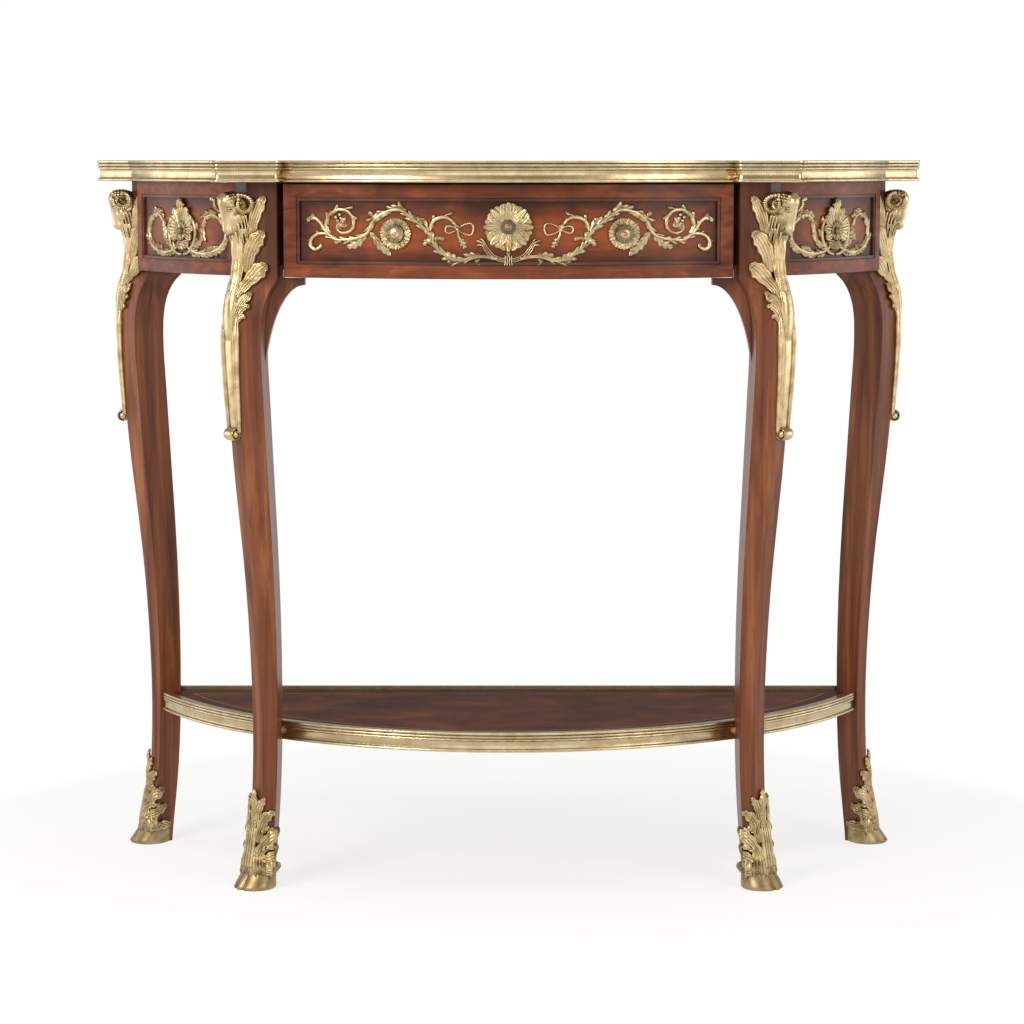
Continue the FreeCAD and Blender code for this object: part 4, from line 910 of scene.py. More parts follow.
    def dome(self, place: Point2, radius: float, rise: float, base: float = 0.0, rings: int = 0,
             dark: float = 0.05) -> None:
        """Round button.

        Args:
            place: Its middle.
            radius: Its radius.
            rise: Its height.
            base: Height of its foot.
            rings: Number of turned rings on it.
            dark: How much painted shade it has all over.
        """
        sides = 28
        turn = np.linspace(0, 2 * math.pi, sides, endpoint=False)
        out = np.linspace(1, 0, 19)
        height = base + rise * np.sqrt(np.clip(1 - out ** 2, 0, 1))
        groove = np.zeros_like(out)
        if rings:
            groove = 0.5 - 0.5 * np.cos(2 * math.pi * rings * out)
            height = height - 0.18 * rise * groove * (out < 0.97)
        distance = np.concatenate([[1.0], out]) * radius
        levels = np.concatenate([[base - 1.5], height])
        shade = np.concatenate([[1.0], np.clip(dark + 0.7 * groove, 0, 1)])
        grid = np.stack([place[0] + distance[:, None] * np.cos(turn)[None],
                         place[1] + distance[:, None] * np.sin(turn)[None],
                         levels[:, None] * np.ones((1, sides))], axis=-1)
        self.grid(grid, shade[:, None] * np.ones((1, sides)))

    def flower(self, place: Point2, radius: float, petals: int, rise: float, button: float,
               start: float = 0.0, inner: float = 0.2, rows: int = 2) -> None:
        """Open flower with ruffled petals and a ringed button.

        Args:
            place: Its middle.
            radius: Radius to the tips of the petals.
            petals: Petals in a row.
            rise: Height of the button.
            button: Radius of the button.
            start: Direction of the first petal in degrees.
            inner: Where the petals begin, as a share of the radius.
            rows: Number of rows of petals, 1 or 2.
        """
        middle = np.array(place)
        for row, reach, shift, stand in ((0, 1.0, 0.0, 0.4), (1, 0.56, 0.5, 0.45))[:rows]:
            for number in range(petals):
                angle = math.radians(start + 360.0 * (number + shift) / petals)
                ahead = np.array([math.cos(angle), math.sin(angle)])
                path = [middle + ahead * radius * reach * share for share in (inner, 0.5, 0.8, 1.0)]
                half = radius * reach * math.sin(math.pi / petals) * (1.2 if row == 0 else 1.05)
                self._petal(path, half, rise * stand, 0.3 * rise * (1 + row))
        # Dark ring of painted shade round the button.
        self.dome(place, button * 1.35, 0.10 * rise, 0.62 * rise, 2, 0.8)
        self.dome(place, button * 0.7, 0.30 * rise, 0.66 * rise, 1, 0.3)

    def _petal(self, path: Sequence[Array], half: float, rise: float, base: float) -> None:
        """One petal of a flower: ridged along its length, with a broad waved tip.

        Args:
            path: Points from the middle of the flower outward.
            half: Half its width.
            rise: Its height.
            base: Height of its root.
        """
        count = 26
        line, ahead, side = self._rib(path, count)
        along = np.linspace(0, 1, count)
        across = np.linspace(-1, 1, 29)
        edge = half * profile(((0, 0.35), (0.65, 1.0), (0.9, 0.97), (1, 0.74)), count)
        frill = 1 + 0.22 * np.cos(3 * math.pi * across)
        ridges = np.cos(7 * math.pi * across + 2.6 * along[:, None] ** 2 * np.sign(across)[None])
        cup = rise * (0.35 + 0.65 * along[:, None]) * (0.62 + 0.2 * np.cos(2 * math.pi * across))[None]
        height = base + cup + 0.20 * rise * ridges * profile(((0, 0.5), (0.6, 1.0), (1, 0.8)), count)[:, None]
        height = height + 0.30 * rise * along[:, None] ** 4 * np.cos(3 * math.pi * across)[None]
        height = height * np.where(np.abs(across) > 0.95, 0.55, 1.0)[None]
        flat = line[:, None, :] + side[:, None, :] * (edge[:, None] * across[None])[..., None]
        lip = frill * (1 - across ** 2) - 0.25 * np.exp(-(across / 0.12) ** 2)
        tip = half * 0.24 * (along[:, None] ** 4) * lip[None]
        flat = flat + ahead[:, None, :] * tip[..., None]
        front = np.concatenate([flat, height[..., None]], axis=-1)
        under = front[:, ::-1].copy()
        under[..., 2] = -0.6
        shade = 0.75 * np.clip(-ridges, 0, 1) ** 2 * (1 - 0.3 * along[:, None])
        shade = shade + 0.3 * (np.abs(across) > 0.9)[None] + 0.5 * np.clip(0.25 - along[:, None], 0, 1) * 4
        self._close(front, under, shade)

    def spiral(self, place: Point2, outer: float, inner: float, start: float, turns: float,
               width: Sequence[Point2], rise: float = 1.0, lift: float = 0.0) -> None:
        """Stem wound into a scroll.

        Args:
            place: Middle of the scroll.
            outer: Radius at the start.
            inner: Radius at the end.
            start: Direction of the start in degrees.
            turns: Number of turns, negative for clockwise.
            width: Half width along it.
            rise: Height as a share of the half width.
            lift: Height of the middle.
        """
        share = np.linspace(0, 1, 24)
        angle = math.radians(start) + 2 * math.pi * turns * share
        radius = outer + (inner - outer) * share
        path = np.stack([place[0] + radius * np.cos(angle), place[1] + radius * np.sin(angle)], axis=1)
        self.stem(path.tolist(), width, rise, lift=((0, 0), (1, lift)), count=70)


def tube(casting: Casting, path: Sequence[Point3], half: Array, across: Array, side: Array, sides: int = 20,
         reeds: Optional[Callable[[Array], Array]] = None, shade: Optional[Array] = None) -> None:
    """Sweep an oval along a path in space.

    Args:
        casting: What it is added to.
        path: Points of the path, already evenly spaced.
        half: Half depth of the oval at each point.
        across: Half width of the oval at each point.
        side: Direction of the width, the same along the path or one for each point.
        sides: Number of points round the oval.
        reeds: Change of the oval's radius by direction.
        shade: Shade of each section, or None.
    """
    line = np.asarray(path, float)
    ahead = unit(np.gradient(line, axis=0))
    wide = np.broadcast_to(side, line.shape)
    wide = unit(wide - ahead * np.sum(wide * ahead, axis=1, keepdims=True))
    deep = np.cross(ahead, wide)
    turn = np.linspace(0, 2 * math.pi, sides, endpoint=False)
    ripple = reeds(turn) if reeds else np.ones_like(turn)
    skin = (line[:, None, :] + wide[:, None, :] * (across[:, None] * (np.cos(turn) * ripple)[None])[..., None]
            + deep[:, None, :] * (half[:, None] * (np.sin(turn) * ripple)[None])[..., None])
    skin = np.concatenate([np.repeat(line[:1, None], sides, 1), skin, np.repeat(line[-1:, None], sides, 1)])
    dark = np.zeros(len(line)) if shade is None else shade
    dark = np.concatenate([dark[:1], dark, dark[-1:]])[:, None] + 2.5 * np.clip(1 - ripple, 0, 1)[None]
    casting.grid(skin, dark)


# Solid sculpture from distance fields
class Sculpture:
    """Solid made of blended balls and rods, then skinned."""

    def __init__(self, low: Point3, high: Point3, pitch: float) -> None:
        """Set up the block that is carved.

        Args:
            low: Lowest corner, in millimetres.
            high: Highest corner.
            pitch: Distance between samples.
        """
        axes = [np.arange(a, b + pitch, pitch) for a, b in zip(low, high)]
        self.low = np.array(low, float)
        self.pitch = pitch
        self.x, self.y, self.z = np.meshgrid(*axes, indexing="ij")
        self.wide = np.abs(self.y)
        self.field = np.full(self.x.shape, 50.0)

    def _ball(self, place: Point3, radii: Point3, paired: bool) -> Array:
        """Distance to an egg.

        Args:
            place: Its middle.
            radii: Its radii.
            paired: Whether there is one on each side.

        Returns:
            The distance at every sample.
        """
        across = self.wide if paired else self.y
        a = (self.x - place[0]) / radii[0]
        b = (across - place[1]) / radii[1]
        c = (self.z - place[2]) / radii[2]
        return (np.sqrt(a * a + b * b + c * c) - 1.0) * min(radii)

    def _rod(self, start: Point3, end: Point3, thick: float, thin: float, paired: bool) -> Array:
        """Distance to a tapered rod.

        Args:
            start: One end.
            end: The other end.
            thick: Radius at the start.
            thin: Radius at the end.
            paired: Whether there is one on each side.

        Returns:
            The distance at every sample.
        """
        across = self.wide if paired else self.y
        line = np.array(end, float) - np.array(start, float)
        dx, dy, dz = self.x - start[0], across - start[1], self.z - start[2]
        share = np.clip((dx * line[0] + dy * line[1] + dz * line[2]) / float(line @ line), 0, 1)
        parts = [(gap - share * reach) ** 2 for gap, reach in zip((dx, dy, dz), line)]
        return np.sqrt(parts[0] + parts[1] + parts[2]) - (thick + (thin - thick) * share)

    def _blend(self, other: Array, soft: float) -> None:
        """Join a form to the field."""
        share = np.clip(0.5 + 0.5 * (other - self.field) / soft, 0, 1)
        self.field = other * (1 - share) + self.field * share - soft * share * (1 - share)

    def _carve(self, other: Array, soft: float) -> None:
        """Cut a form out of the field."""
        share = np.clip(0.5 - 0.5 * (other - self.field) / soft, 0, 1)
        self.field = other * (1 - share) + self.field * share + soft * share * (1 - share)

    def ball(self, place: Point3, radii: Point3, soft: float = 2.0, paired: bool = False) -> None:
        """Add an egg."""
        self._blend(self._ball(place, radii, paired), soft)

    def rod(self, start: Point3, end: Point3, thick: float, thin: float, soft: float = 1.5,
            paired: bool = False) -> None:
        """Add a tapered rod."""
        self._blend(self._rod(start, end, thick, thin, paired), soft)

    def carve_ball(self, place: Point3, radii: Point3, soft: float = 0.8, paired: bool = False) -> None:
        """Hollow out an egg."""
        self._carve(-self._ball(place, radii, paired), soft)

    def carve_rod(self, start: Point3, end: Point3, thick: float, thin: float, soft: float = 0.6,
                  paired: bool = False) -> None:
        """Hollow out a groove."""
        self._carve(-self._rod(start, end, thick, thin, paired), soft)

    def _hollows(self, spread: int) -> Array:
        """How much solid lies round each sample.

        Args:
            spread: How far it looks, in samples.

        Returns:
            0.5 on a flat face, more in a hollow.
        """
        full = np.clip(0.5 - self.field / self.pitch, 0, 1)
        for axis in range(3):
            for _ in range(spread):
                ahead = np.roll(full, 1, axis)
                behind = np.roll(full, -1, axis)
                full = 0.25 * ahead + 0.5 * full + 0.25 * behind
        return full

    def _part(self, corner: Tuple[int, ...]) -> Array:
        """Field at one corner of every cell."""
        spans = [slice(offset, offset + size - 1) for offset, size in zip(corner, self.field.shape)]
        return self.field[tuple(spans)]

    def skin(self, casting: Casting) -> None:
        """Skin the solid and add it to a casting.

        Args:
            casting: What it is added to.
        """
        value = self.field
        cells = tuple(size - 1 for size in value.shape)
        total = np.zeros(cells + (3,))
        count = np.zeros(cells)
        corners = [(i, j, k) for i in (0, 1) for j in (0, 1) for k in (0, 1)]
        for first in corners:
            for axis in range(3):
                if first[axis]:
                    continue
                second = tuple(1 if index == axis else offset for index, offset in enumerate(first))
                a, b = self._part(first), self._part(second)
                crossing = (a < 0) != (b < 0)
                share = np.where(crossing, a / np.where(crossing, a - b, 1.0), 0.0)
                for index in range(3):
                    total[..., index] += crossing * (first[index] + (share if index == axis else 0.0))
                count += crossing
        active = count > 0
        number = np.full(cells, -1)
        number[active] = np.arange(int(active.sum()))
        base = np.stack(np.nonzero(active), axis=1)
        points = self.low + (base + total[active] / count[active][:, None]) * self.pitch
        around = self._hollows(4)[1:, 1:, 1:][active]
        faces = []
        for axis in range(3):
            u, v = [index for index in range(3) if index != axis]
            a = value
            b = np.roll(value, -1, axis)
            change = (a < 0) != (b < 0)
            places = np.stack(np.nonzero(change), axis=1)
            keep = (places[:, axis] < cells[axis]) & (places[:, u] > 0) & (places[:, v] > 0)
            keep &= (places[:, u] < cells[u]) & (places[:, v] < cells[v])
            places = places[keep]
            ring = []
            for du, dv in ((1, 1), (0, 1), (0, 0), (1, 0)):
                cell = places.copy()
                cell[:, u] -= du
                cell[:, v] -= dv
                ring.append(number[cell[:, 0], cell[:, 1], cell[:, 2]])
            faces.append(np.stack(ring, axis=1))
        quads = np.concatenate(faces)
        quads = quads[(quads >= 0).all(axis=1)]
        hollow_start, hollow_gain = 0.54, 5.0
        casting.add(points, quads, np.clip((around - hollow_start) * hollow_gain, 0, 1))


# Castings of one leg, in the frame of the leg: X out from the post face, Y to the side, Z up
class LegShape:
    """Outline of the wooden leg that the castings sit on: a flat outer face between two slanting flanks."""

    def __init__(self, node: bpy.types.Object) -> None:
        """Read the outer face of the leg from its CAD mesh.

        Args:
            node: The right rear leg.
        """
        points = np.array([vertex.co for vertex in node.data.vertices]) / MM
        x, y, _ = SIZES.leg_place(Corner.REAR_RIGHT)
        near = np.abs(points[:, 1] - y) < SIZES.post_cant + 1.5
        rows = points[near & (points[:, 2] < SIZES.apron + 0.5)]
        out = rows[:, 0] - x
        deepest = -22.0
        outer = out > deepest
        rows, out = rows[outer], out[outer]
        levels = np.unique(np.round(rows[:, 2], 0))
        self.levels = levels
        self.outer = np.array([out[np.abs(rows[:, 2] - level) < 0.6].max() for level in levels])

    def face(self, level: Array) -> Array:
        """How far the flat outer face stands out."""
        return np.where(level >= SIZES.apron, 0.0, np.interp(level, self.levels, self.outer))

    def flank(self, sign: float, points: Array) -> Array:
        """Wrap a flat relief onto the slanting face beside the flat one.

        Args:
            sign: Which of the two faces.
            points: X runs back from the corner that is cut off, Y is the height, Z stands off the face.

        Returns:
            The points in the frame of the leg.
        """
        corner = self.face(points[:, 1]) + SIZES.post_cant
        out = corner + ROOT_HALF * (points[:, 2] - points[:, 0])
        side = sign * ROOT_HALF * (points[:, 0] + points[:, 2])
        return np.stack([out, side, points[:, 1]], axis=1)

    def around(self, sign: float, points: Array) -> Array:
        """Wrap a flat relief onto the slanting face and on round the corner behind it.

        Args:
            sign: Which of the two faces.
            points: As for a flank, but turned back where the flank ends.

        Returns:
            The points in the frame of the leg.
        """
        end = SIZES.foot_half / ROOT_HALF
        past = np.maximum(points[:, 0] - end, 0.0)
        turn = math.pi / 4 * (1 + 2 * np.clip((points[:, 0] - end) / 8.0 + 0.5, 0, 1))
        ground = self.face(points[:, 1]) + SIZES.post_cant - ROOT_HALF * points[:, 0]
        out = ground + points[:, 2] * np.cos(turn)
        side = ROOT_HALF * (points[:, 0] - 2 * past) + points[:, 2] * np.sin(turn)
        return np.stack([out, sign * side, points[:, 1]], axis=1)

    def front(self, points: Array) -> Array:
        """Wrap a flat relief onto the flat outer face and round its edges.

        Args:
            points: X runs to the side, Y is the height, Z stands out.

        Returns:
            The points in the frame of the leg.
        """
        past = np.maximum(np.abs(points[:, 0]) - SIZES.post_cant, 0.0)
        out = self.face(points[:, 1]) + points[:, 2] - ROOT_HALF * past
        side = points[:, 0] - np.sign(points[:, 0]) * past * (1 - ROOT_HALF)
        return np.stack([out, side, points[:, 1]], axis=1)


@dataclass
class RamHead:
    """Ram's head with ringed horns, and the leaves on the post behind it.

    Attributes:
        leg: The leg under it.
        top: Height of the crown of the head.
        pitch: Sample distance of the sculpture.
    """

    leg: LegShape
    top: float = 853.0
    pitch: float = 0.6

    def _face(self, casting: Casting) -> None:
        """Skull, muzzle, eyes, ears and wool.

        Args:
            casting: What it is added to.
        """
        block = Sculpture((-6.0, -25.0, -68.0), (38.0, 25.0, 5.0), self.pitch)
        block.ball((9, 0, -17), (16, 14.5, 15.0))
        block.ball((20.5, 0, -11.5), (9.5, 12.5, 9.5), 3.0)
        block.rod((20.5, 0, -14), (18.6, 0, -45), 10.8, 6.6, 4.0)
        block.ball((18.4, 0, -46.0), (6.9, 5.8, 6.0), 3.0)
        block.ball((10.5, 7.2, -30), (10, 6.6, 12.0), 2.5, True)
        block.rod((8, 5, -36), (15.0, 2.4, -47), 5.4, 3.4, 2.5, True)
        block.rod((2, 0, -18), (4, 0, -67), 12.0, 9.6, 4.0)
        block.carve_ball((25.2, 10.6, -20.5), (2.9, 2.6, 2.0), 0.8, True)
        block.ball((23.4, 9.7, -20.7), (2.0, 1.9, 1.4), 0.2, True)
        block.rod((28.0, 4.4, -15.8), (19.5, 12.8, -16.8), 1.7, 1.4, 1.2, True)
        block.rod((26.6, 7.4, -23.4), (20.5, 12.0, -23.6), 1.0, 0.9, 0.6, True)
        block.carve_rod((30.0, 3.2, -25), (26.0, 4.8, -40), 0.9, 0.5, 0.8, True)
        block.carve_ball((25.0, 3.6, -48.6), (1.7, 1.6, 1.3), 0.6, True)
        block.carve_rod((25.2, 0, -49.6), (15.0, 5.6, -47.6), 0.6, 0.5, 0.5, True)
        block.carve_ball((12.0, 18.0, -15.0), (7.6, 8.0, 7.4), 0.8, True)
        block.rod((8.0, 10.0, -15.0), (13.5, 19.5, -14.0), 2.8, 1.2, 0.3, True)
        for x in (9.0, 13.0, 17.0, 21.0, 24.5):
            for y in (0.0, 4.0, 8.0, 12.0):
                fall = 3.6 * ((x - 15) / 14) ** 2 + 4.6 * (y / 12) ** 2
                block.ball((x, y, -2.4 - fall), (2.3, 2.3, 2.0), 0.4, True)
        locks = (((10, 12.4, -33), (6, 13.2, -50)), ((6.5, 12.8, -31), (2, 13.6, -49)),
                 ((12.5, 11.4, -40), (8.5, 11.8, -57)), ((2.5, 12.6, -30), (-1, 13.6, -48)),
                 ((8.5, 11.8, -46), (5, 11.6, -62)), ((4.5, 12.4, -46), (1, 12.2, -62)),
                 ((13.0, 7.0, -50), (10.0, 8.0, -62)), ((14.5, 2.4, -54), (12.0, 3.0, -64)))
        for start, end in locks:
            block.rod(start, end, 1.8, 0.7, 0.3, True)
        head = Casting()
        block.skin(head)
        casting.merge(head, lambda points: points + np.array([0.0, 0.0, self.top]))

    def _horn(self, casting: Casting, sign: float) -> None:
        """Ribbed horn wound into a ring beside the ear.

        Args:
            casting: What it is added to.
            sign: Which side it is on.
        """
        share = np.linspace(0, 1, 160)
        angle = np.radians(84 + 296 * share)
        radius = 10.2 - 0.9 * share
        side = 23.5 - 14.0 * np.clip(1 - share / 0.3, 0, 1) ** 2 + 2.0 * np.clip(share - 0.75, 0, 1) / 0.25
        line = np.stack([11.5 + 1.08 * radius * np.cos(angle), sign * side,
                         self.top - 15.0 + radius * np.sin(angle)], axis=1)
        tip = line[-1] + np.outer(np.linspace(0, 1, 20), np.array([3.5, 5.0 * sign, 2.5]))
        line = np.concatenate([line, tip[1:]])
        place = np.linspace(0, 1, len(line))
        rib = np.abs(np.sin(place * math.pi * 24)) ** 0.6
        half = (3.3 - 1.5 * place ** 1.8) * (0.74 + 0.26 * rib)
        half[-1] = 0.2
        tube(casting, line, half, half, np.array([0.0, 1.0, 0.2]), 16, shade=(1 - rib) * (place < 0.9))

    def build(self) -> Casting:
        """Put the head together.

        Returns:
            The casting.
        """
        casting = Casting()
        self._face(casting)
        for sign in (-1.0, 1.0):
            self._horn(casting, sign)
            leaves = Relief()
            leaves.blade(((20, 792), (23, 812), (29, 831), (38, 847)), 9.0, 5, 4.2, 3.5, 0.55)
            leaves.blade(((15.5, 756), (17.5, 773), (25, 791), (37, 805)), 11.5, 5, 4.8, 5.0, 0.5)
            leaves.stem(((15.0, 806), (16.5, 792), (16.0, 776), (15.5, 750)),
                        ((0, 1.4), (0.5, 2.4), (1, 1.4)), 1.3)
            leaves.stem(((20.5, 812), (19.5, 798), (18.5, 784), (16.5, 766)),
                        ((0, 1.2), (0.5, 2.0), (1, 1.0)), 1.3)
            leaves.leaf(((17, 790), (20, 800), (21, 810), (19, 820)), 4.5, 4, 3.6, 2.0, 0.6, 0.25, 0.6, 40)
            for level in (792, 784, 776, 768, 760):
                leaves.dome((13.8 + 0.4 * (level % 3), level), 1.7, 3.0)
            casting.merge(leaves, partial(self.leg.flank, sign))
        return casting


@dataclass
class Chute:
    """Trunk under the head, leaves and curls over the knee, and the reeded strap with its scroll.

    Attributes:
        leg: The leg under it.
        scroll: Height of the middle of the scroll at the lower end.
        half: Half width of the strap.
    """

    leg: LegShape
    scroll: float = 561.0
    half: float = 10.4

    @staticmethod
    def _flutes(turn: Array) -> Array:
        """Radius of the fluted trunk by direction, as a share."""
        return 1.0 - 0.09 * (0.5 + 0.5 * np.cos(18 * turn)) ** 2

    def _eye(self, sign: float, middle: float, points: Array) -> Array:
        """Turn a flat button to one end of the scroll."""
        side = sign * (self.half - 1.6 + points[:, 2])
        return np.stack([middle + points[:, 0], side, self.scroll + points[:, 1]], axis=1)

    def _trunk(self, casting: Casting) -> None:
        """Column from the head down to the knee.

        Args:
            casting: What it is added to.
        """
        keys = [(4.2, 0.0, 800.0), (4.4, 0.0, 782.0), (5.0, 0.0, 766.0), (7.5, 0.0, 752.0),
                (11.5, 0.0, 738.0)]
        for level, over in ((724, 5.0), (708, 3.4), (690, 1.2), (672, -1.5), (655, -4.0)):
            keys.append((float(self.leg.face(np.array([level]))[0]) + over, 0.0, float(level)))
        count = 150
        line = curve(keys, count)
        wide = profile(((0, 10.6), (0.2, 9.0), (0.38, 9.4), (0.6, 10.8), (0.8, 9.6), (1, 6.0)), count)
        deep = profile(((0, 10.0), (0.2, 8.0), (0.4, 7.0), (0.6, 6.0), (0.8, 5.5), (1, 4.0)), count)
        step = np.linspace(0, 1, count)
        ring = 1.0 - 0.03 * np.sin(step * 40) * (step < 0.5)
        side = np.array([0.0, 1.0, 0.0])
        tube(casting, line[:84], (deep * ring)[:84], (wide * ring)[:84], side, 72, self._flutes)
        tube(casting, line[70:], 0.97 * deep[70:], 0.97 * wide[70:], side, 48)

    def _strap(self, casting: Casting) -> None:
        """Reeded strap down the flat face, with the scroll at its end.

        Args:
            casting: What it is added to.
        """
        count = 60
        across = np.linspace(-1, 1, 41)
        levels = np.linspace(706, self.scroll - 2, count)
        share = np.linspace(0, 1, count)
        half = self.half - 1.8 * share
        second = np.exp(-((np.abs(across) - 0.86) / 0.07) ** 2)
        bulge = np.sqrt(np.clip(1 - (across / 1.02) ** 2, 0, 1))
        rise = (0.9 + 2.8 * bulge - 0.4 * second) * (np.abs(across) < 0.999)
        rise = np.where(np.abs(across) >= 0.999, -0.6, rise)
        fade = np.clip(share / 0.12, 0, 1) * 0.6 + 0.4
        grid = np.stack([half[:, None] * across[None], levels[:, None] * np.ones_like(across)[None],
                         rise[None] * fade[:, None]], axis=-1)
        under = grid[:, ::-1].copy()
        under[..., 2] = -0.8
        shade = np.clip(0.25 * second + (np.abs(across) > 0.97), 0, 1)[None] * np.ones((count, 1))
        shades = np.concatenate([shade, np.ones_like(shade)], axis=1)
        relief = Relief()
        relief.grid(np.concatenate([grid, under], axis=1), shades)
        casting.merge(relief, self.leg.front)
        middle = float(self.leg.face(np.array([self.scroll]))[0]) + 5.2
        turn = np.linspace(0, 2 * math.pi * 1.75, 90)
        radius = 7.4 - 4.4 * turn / turn[-1]
        line = np.stack([middle - radius * np.cos(turn + 0.6), np.zeros_like(turn),
                         self.scroll + radius * np.sin(turn + 0.6)], axis=1)
        thick = np.full_like(turn, 1.5)
        wide = np.full_like(turn, self.half - 1.0)
        tube(casting, line, thick, wide, np.array([0.0, 1.0, 0.0]), 24)
        eye = Relief()
        eye.dome((0.0, 0.0), 4.0, 1.6)
        for sign in (-1.0, 1.0):
            casting.merge(eye, partial(self._eye, sign, middle))

    def _knee(self, casting: Casting, sign: float) -> None:
        """Leaves and curls on one flank of the knee.

        Args:
            casting: What it is added to.
            sign: Which flank.
        """
        relief = Relief()
        relief.blade(((12.0, 726), (17, 741), (27, 755), (40, 766)), 12.0, 5, 5.0, 5.5, 0.5)
        relief.blade(((13.5, 688), (15.5, 706), (20, 722), (29, 733)), 7.0, 5, 4.6, 4.5, 0.45)
        relief.blade(((14.0, 694), (18.0, 707), (24.0, 715), (31, 716)), 5.4, 3, 4.4, 4.0, 0.5)
        relief.blade(((14.5, 690), (18.0, 699), (22.5, 704), (27.0, 702)), 4.0, 3, 3.8, 3.0, 0.6)
        relief.spiral((24.5, 725.0), 5.6, 1.4, 200.0, -1.3, ((0, 1.2), (0.4, 1.9), (1, 1.3)), 1.5, 4.0)
        relief.leaf(((13.5, 738), (13.0, 720), (13.5, 704), (14.5, 684)), 4.4, 4, 4.6, 1.0, 0.5, 0.2, 0.9, 50)
        relief.stem(((16.0, 706), (16.4, 690), (16.2, 660), (15.2, 620), (14.2, 588), (13.4, 562)),
                    ((0, 3.0), (0.2, 4.6), (0.6, 3.9), (1, 3.0)), 1.0, count=90)
        for level, place in ((746, 15.0), (739, 15.6), (752, 14.2), (732, 17.0)):
            relief.dome((place, level), 2.2, 4.2)
        casting.merge(relief, partial(self.leg.flank, sign))

    def build(self) -> Casting:
        """Put the chute together.

        Returns:
            The casting.
        """
        casting = Casting()
        self._trunk(casting)
        self._strap(casting)
        for sign in (-1.0, 1.0):
            self._knee(casting, sign)
        return casting


@dataclass
class Sabot:
    """Cloven hoof with a cuff of leaves.

    Attributes:
        leg: The leg under it.
        height: Height of the hoof.
    """

    leg: LegShape
    height: float = 27.0

    def _hoof(self, casting: Casting) -> None:
        """The cloven hoof itself.

        Args:
            casting: What it is added to.
        """
        turn = np.linspace(-math.pi, math.pi, 72, endpoint=False)
        levels = np.array([0.0, 0.0, 1.2, 5.0, 10.0, 15.0, 20.0, 24.0, self.height, self.height + 2.0])
        toe = np.interp(levels, (0, 10, 20, 29), (17.5, 11.5, 4.6, 1.5))
        heel = np.interp(levels, (0, 10, 20, 29), (-36.0, -36.5, -37.5, -38.0))
        wide = np.interp(levels, (0, 10, 20, 29), (26.5, 25.4, 24.6, 25.0))
        shrink = np.array([0.0, 0.96, 1.0, 1.0, 0.985, 0.97, 0.965, 0.98, 1.06, 0.8])
        cleft = 0.17 * np.exp(-((np.abs(turn) - 0.24) / 0.09) ** 2)[None]
        cleft = cleft * np.interp(levels, (0, 14, 26), (1.0, 0.9, 0.1))[:, None]
        middle = (toe + heel) / 2
        half = (toe - heel) / 2
        square = (np.abs(np.cos(turn)) ** 1.9 + np.abs(np.sin(turn)) ** 1.9) ** (-1 / 1.9)
        reach = half[:, None] * shrink[:, None] * (np.cos(turn) * square)[None]
        out = middle[:, None] + reach * (1.0 - cleft)
        side = wide[:, None] * shrink[:, None] * (np.sin(turn) * square)[None]
        skin = np.stack([out, side, levels[:, None] * np.ones((1, len(turn)))], axis=-1)
        # Painted shade: the whole hoof darker, standing in for darker reflections, with more in the cleft and
        # on its upper part under the leaves.
        shade = 0.62 + 4.0 * cleft + 0.3 * (levels[:, None] >= 20.0) * np.ones((1, len(turn)))
        casting.grid(skin, shade)

    def build(self) -> Casting:
        """Put the sabot together.

        Returns:
            The casting.
        """
        casting = Casting()
        self._hoof(casting)
        front = Relief()
        front.blade(((0, 56), (0, 80), (0, 104), (0, 122)), 8.5, 3, 4.2, 5.0, 0.95, 0.34)
        for place in (-6.6, -2.2, 2.2, 6.6):
            front.stem(((place * 1.25, 26), (place * 1.1, 48), (place, 68), (place * 0.8, 84)),
                       ((0, 2.6), (0.6, 2.2), (1, 1.2)), 1.5, lift=((0, 2.0), (1, 2.0)))
        for number, start in enumerate(np.linspace(-14.0, 14.0, 9)):
            tip = 14 + 3 * (number % 2)
            path = ((start, 44), (start * 1.06, 35), (start * 1.1 + 1, 26), (start * 1.16, tip))
            front.leaf(path, 4.6, 2, 5.6, 3.5, 0.5, 0.2, 0.9, 26)
        casting.merge(front, self.leg.front)
        for sign in (-1.0, 1.0):
            relief = Relief()
            relief.blade(((15, 36), (21, 52), (30, 65), (42, 75)), 10.0, 5, 4.6, 3.0, 0.7, 0.25)
            relief.blade(((13, 58), (16, 73), (21, 87), (31, 97)), 8.4, 5, 4.4, 3.4, 0.7, 0.25)
            relief.blade(((12, 82), (13, 93), (15, 104), (20, 114)), 5.6, 3, 4.0, 2.6, 0.7, 0.25)
            relief.blade(((18, 26), (29, 37), (40, 45), (51, 51)), 8.6, 5, 4.6, 2.4, 0.6, 0.25)
            relief.blade(((18, 18), (31, 22), (45, 24), (60, 25)), 7.5, 5, 4.8, 8.0, 0.6, 0.25)
            relief.leaf(((17, 44), (24, 50), (31, 53), (39, 53)), 6.0, 4, 7.0, 3.5, 0.9, 0.4, 0.7)
            relief.leaf(((14, 66), (20, 72), (26, 75), (33, 75)), 5.0, 4, 6.4, 3.5, 0.9, 0.4, 0.7)
            for number, start in enumerate((16, 20, 24, 28, 32, 36)):
                tip = 14 + 3 * (number % 2)
                path = ((start, 44), (start + 0.6, 35), (start + 1.6, 26), (start + 2.0, tip))
                relief.leaf(path, 4.8, 2, 5.6, 3.5, 0.5, 0.2, 0.9, 26)
            relief.dome((27.0, 36.0), 3.4, 7.0)
            relief.dome((34.0, 33.0), 2.8, 6.0)
            casting.merge(relief, partial(self.leg.around, sign))
        return casting


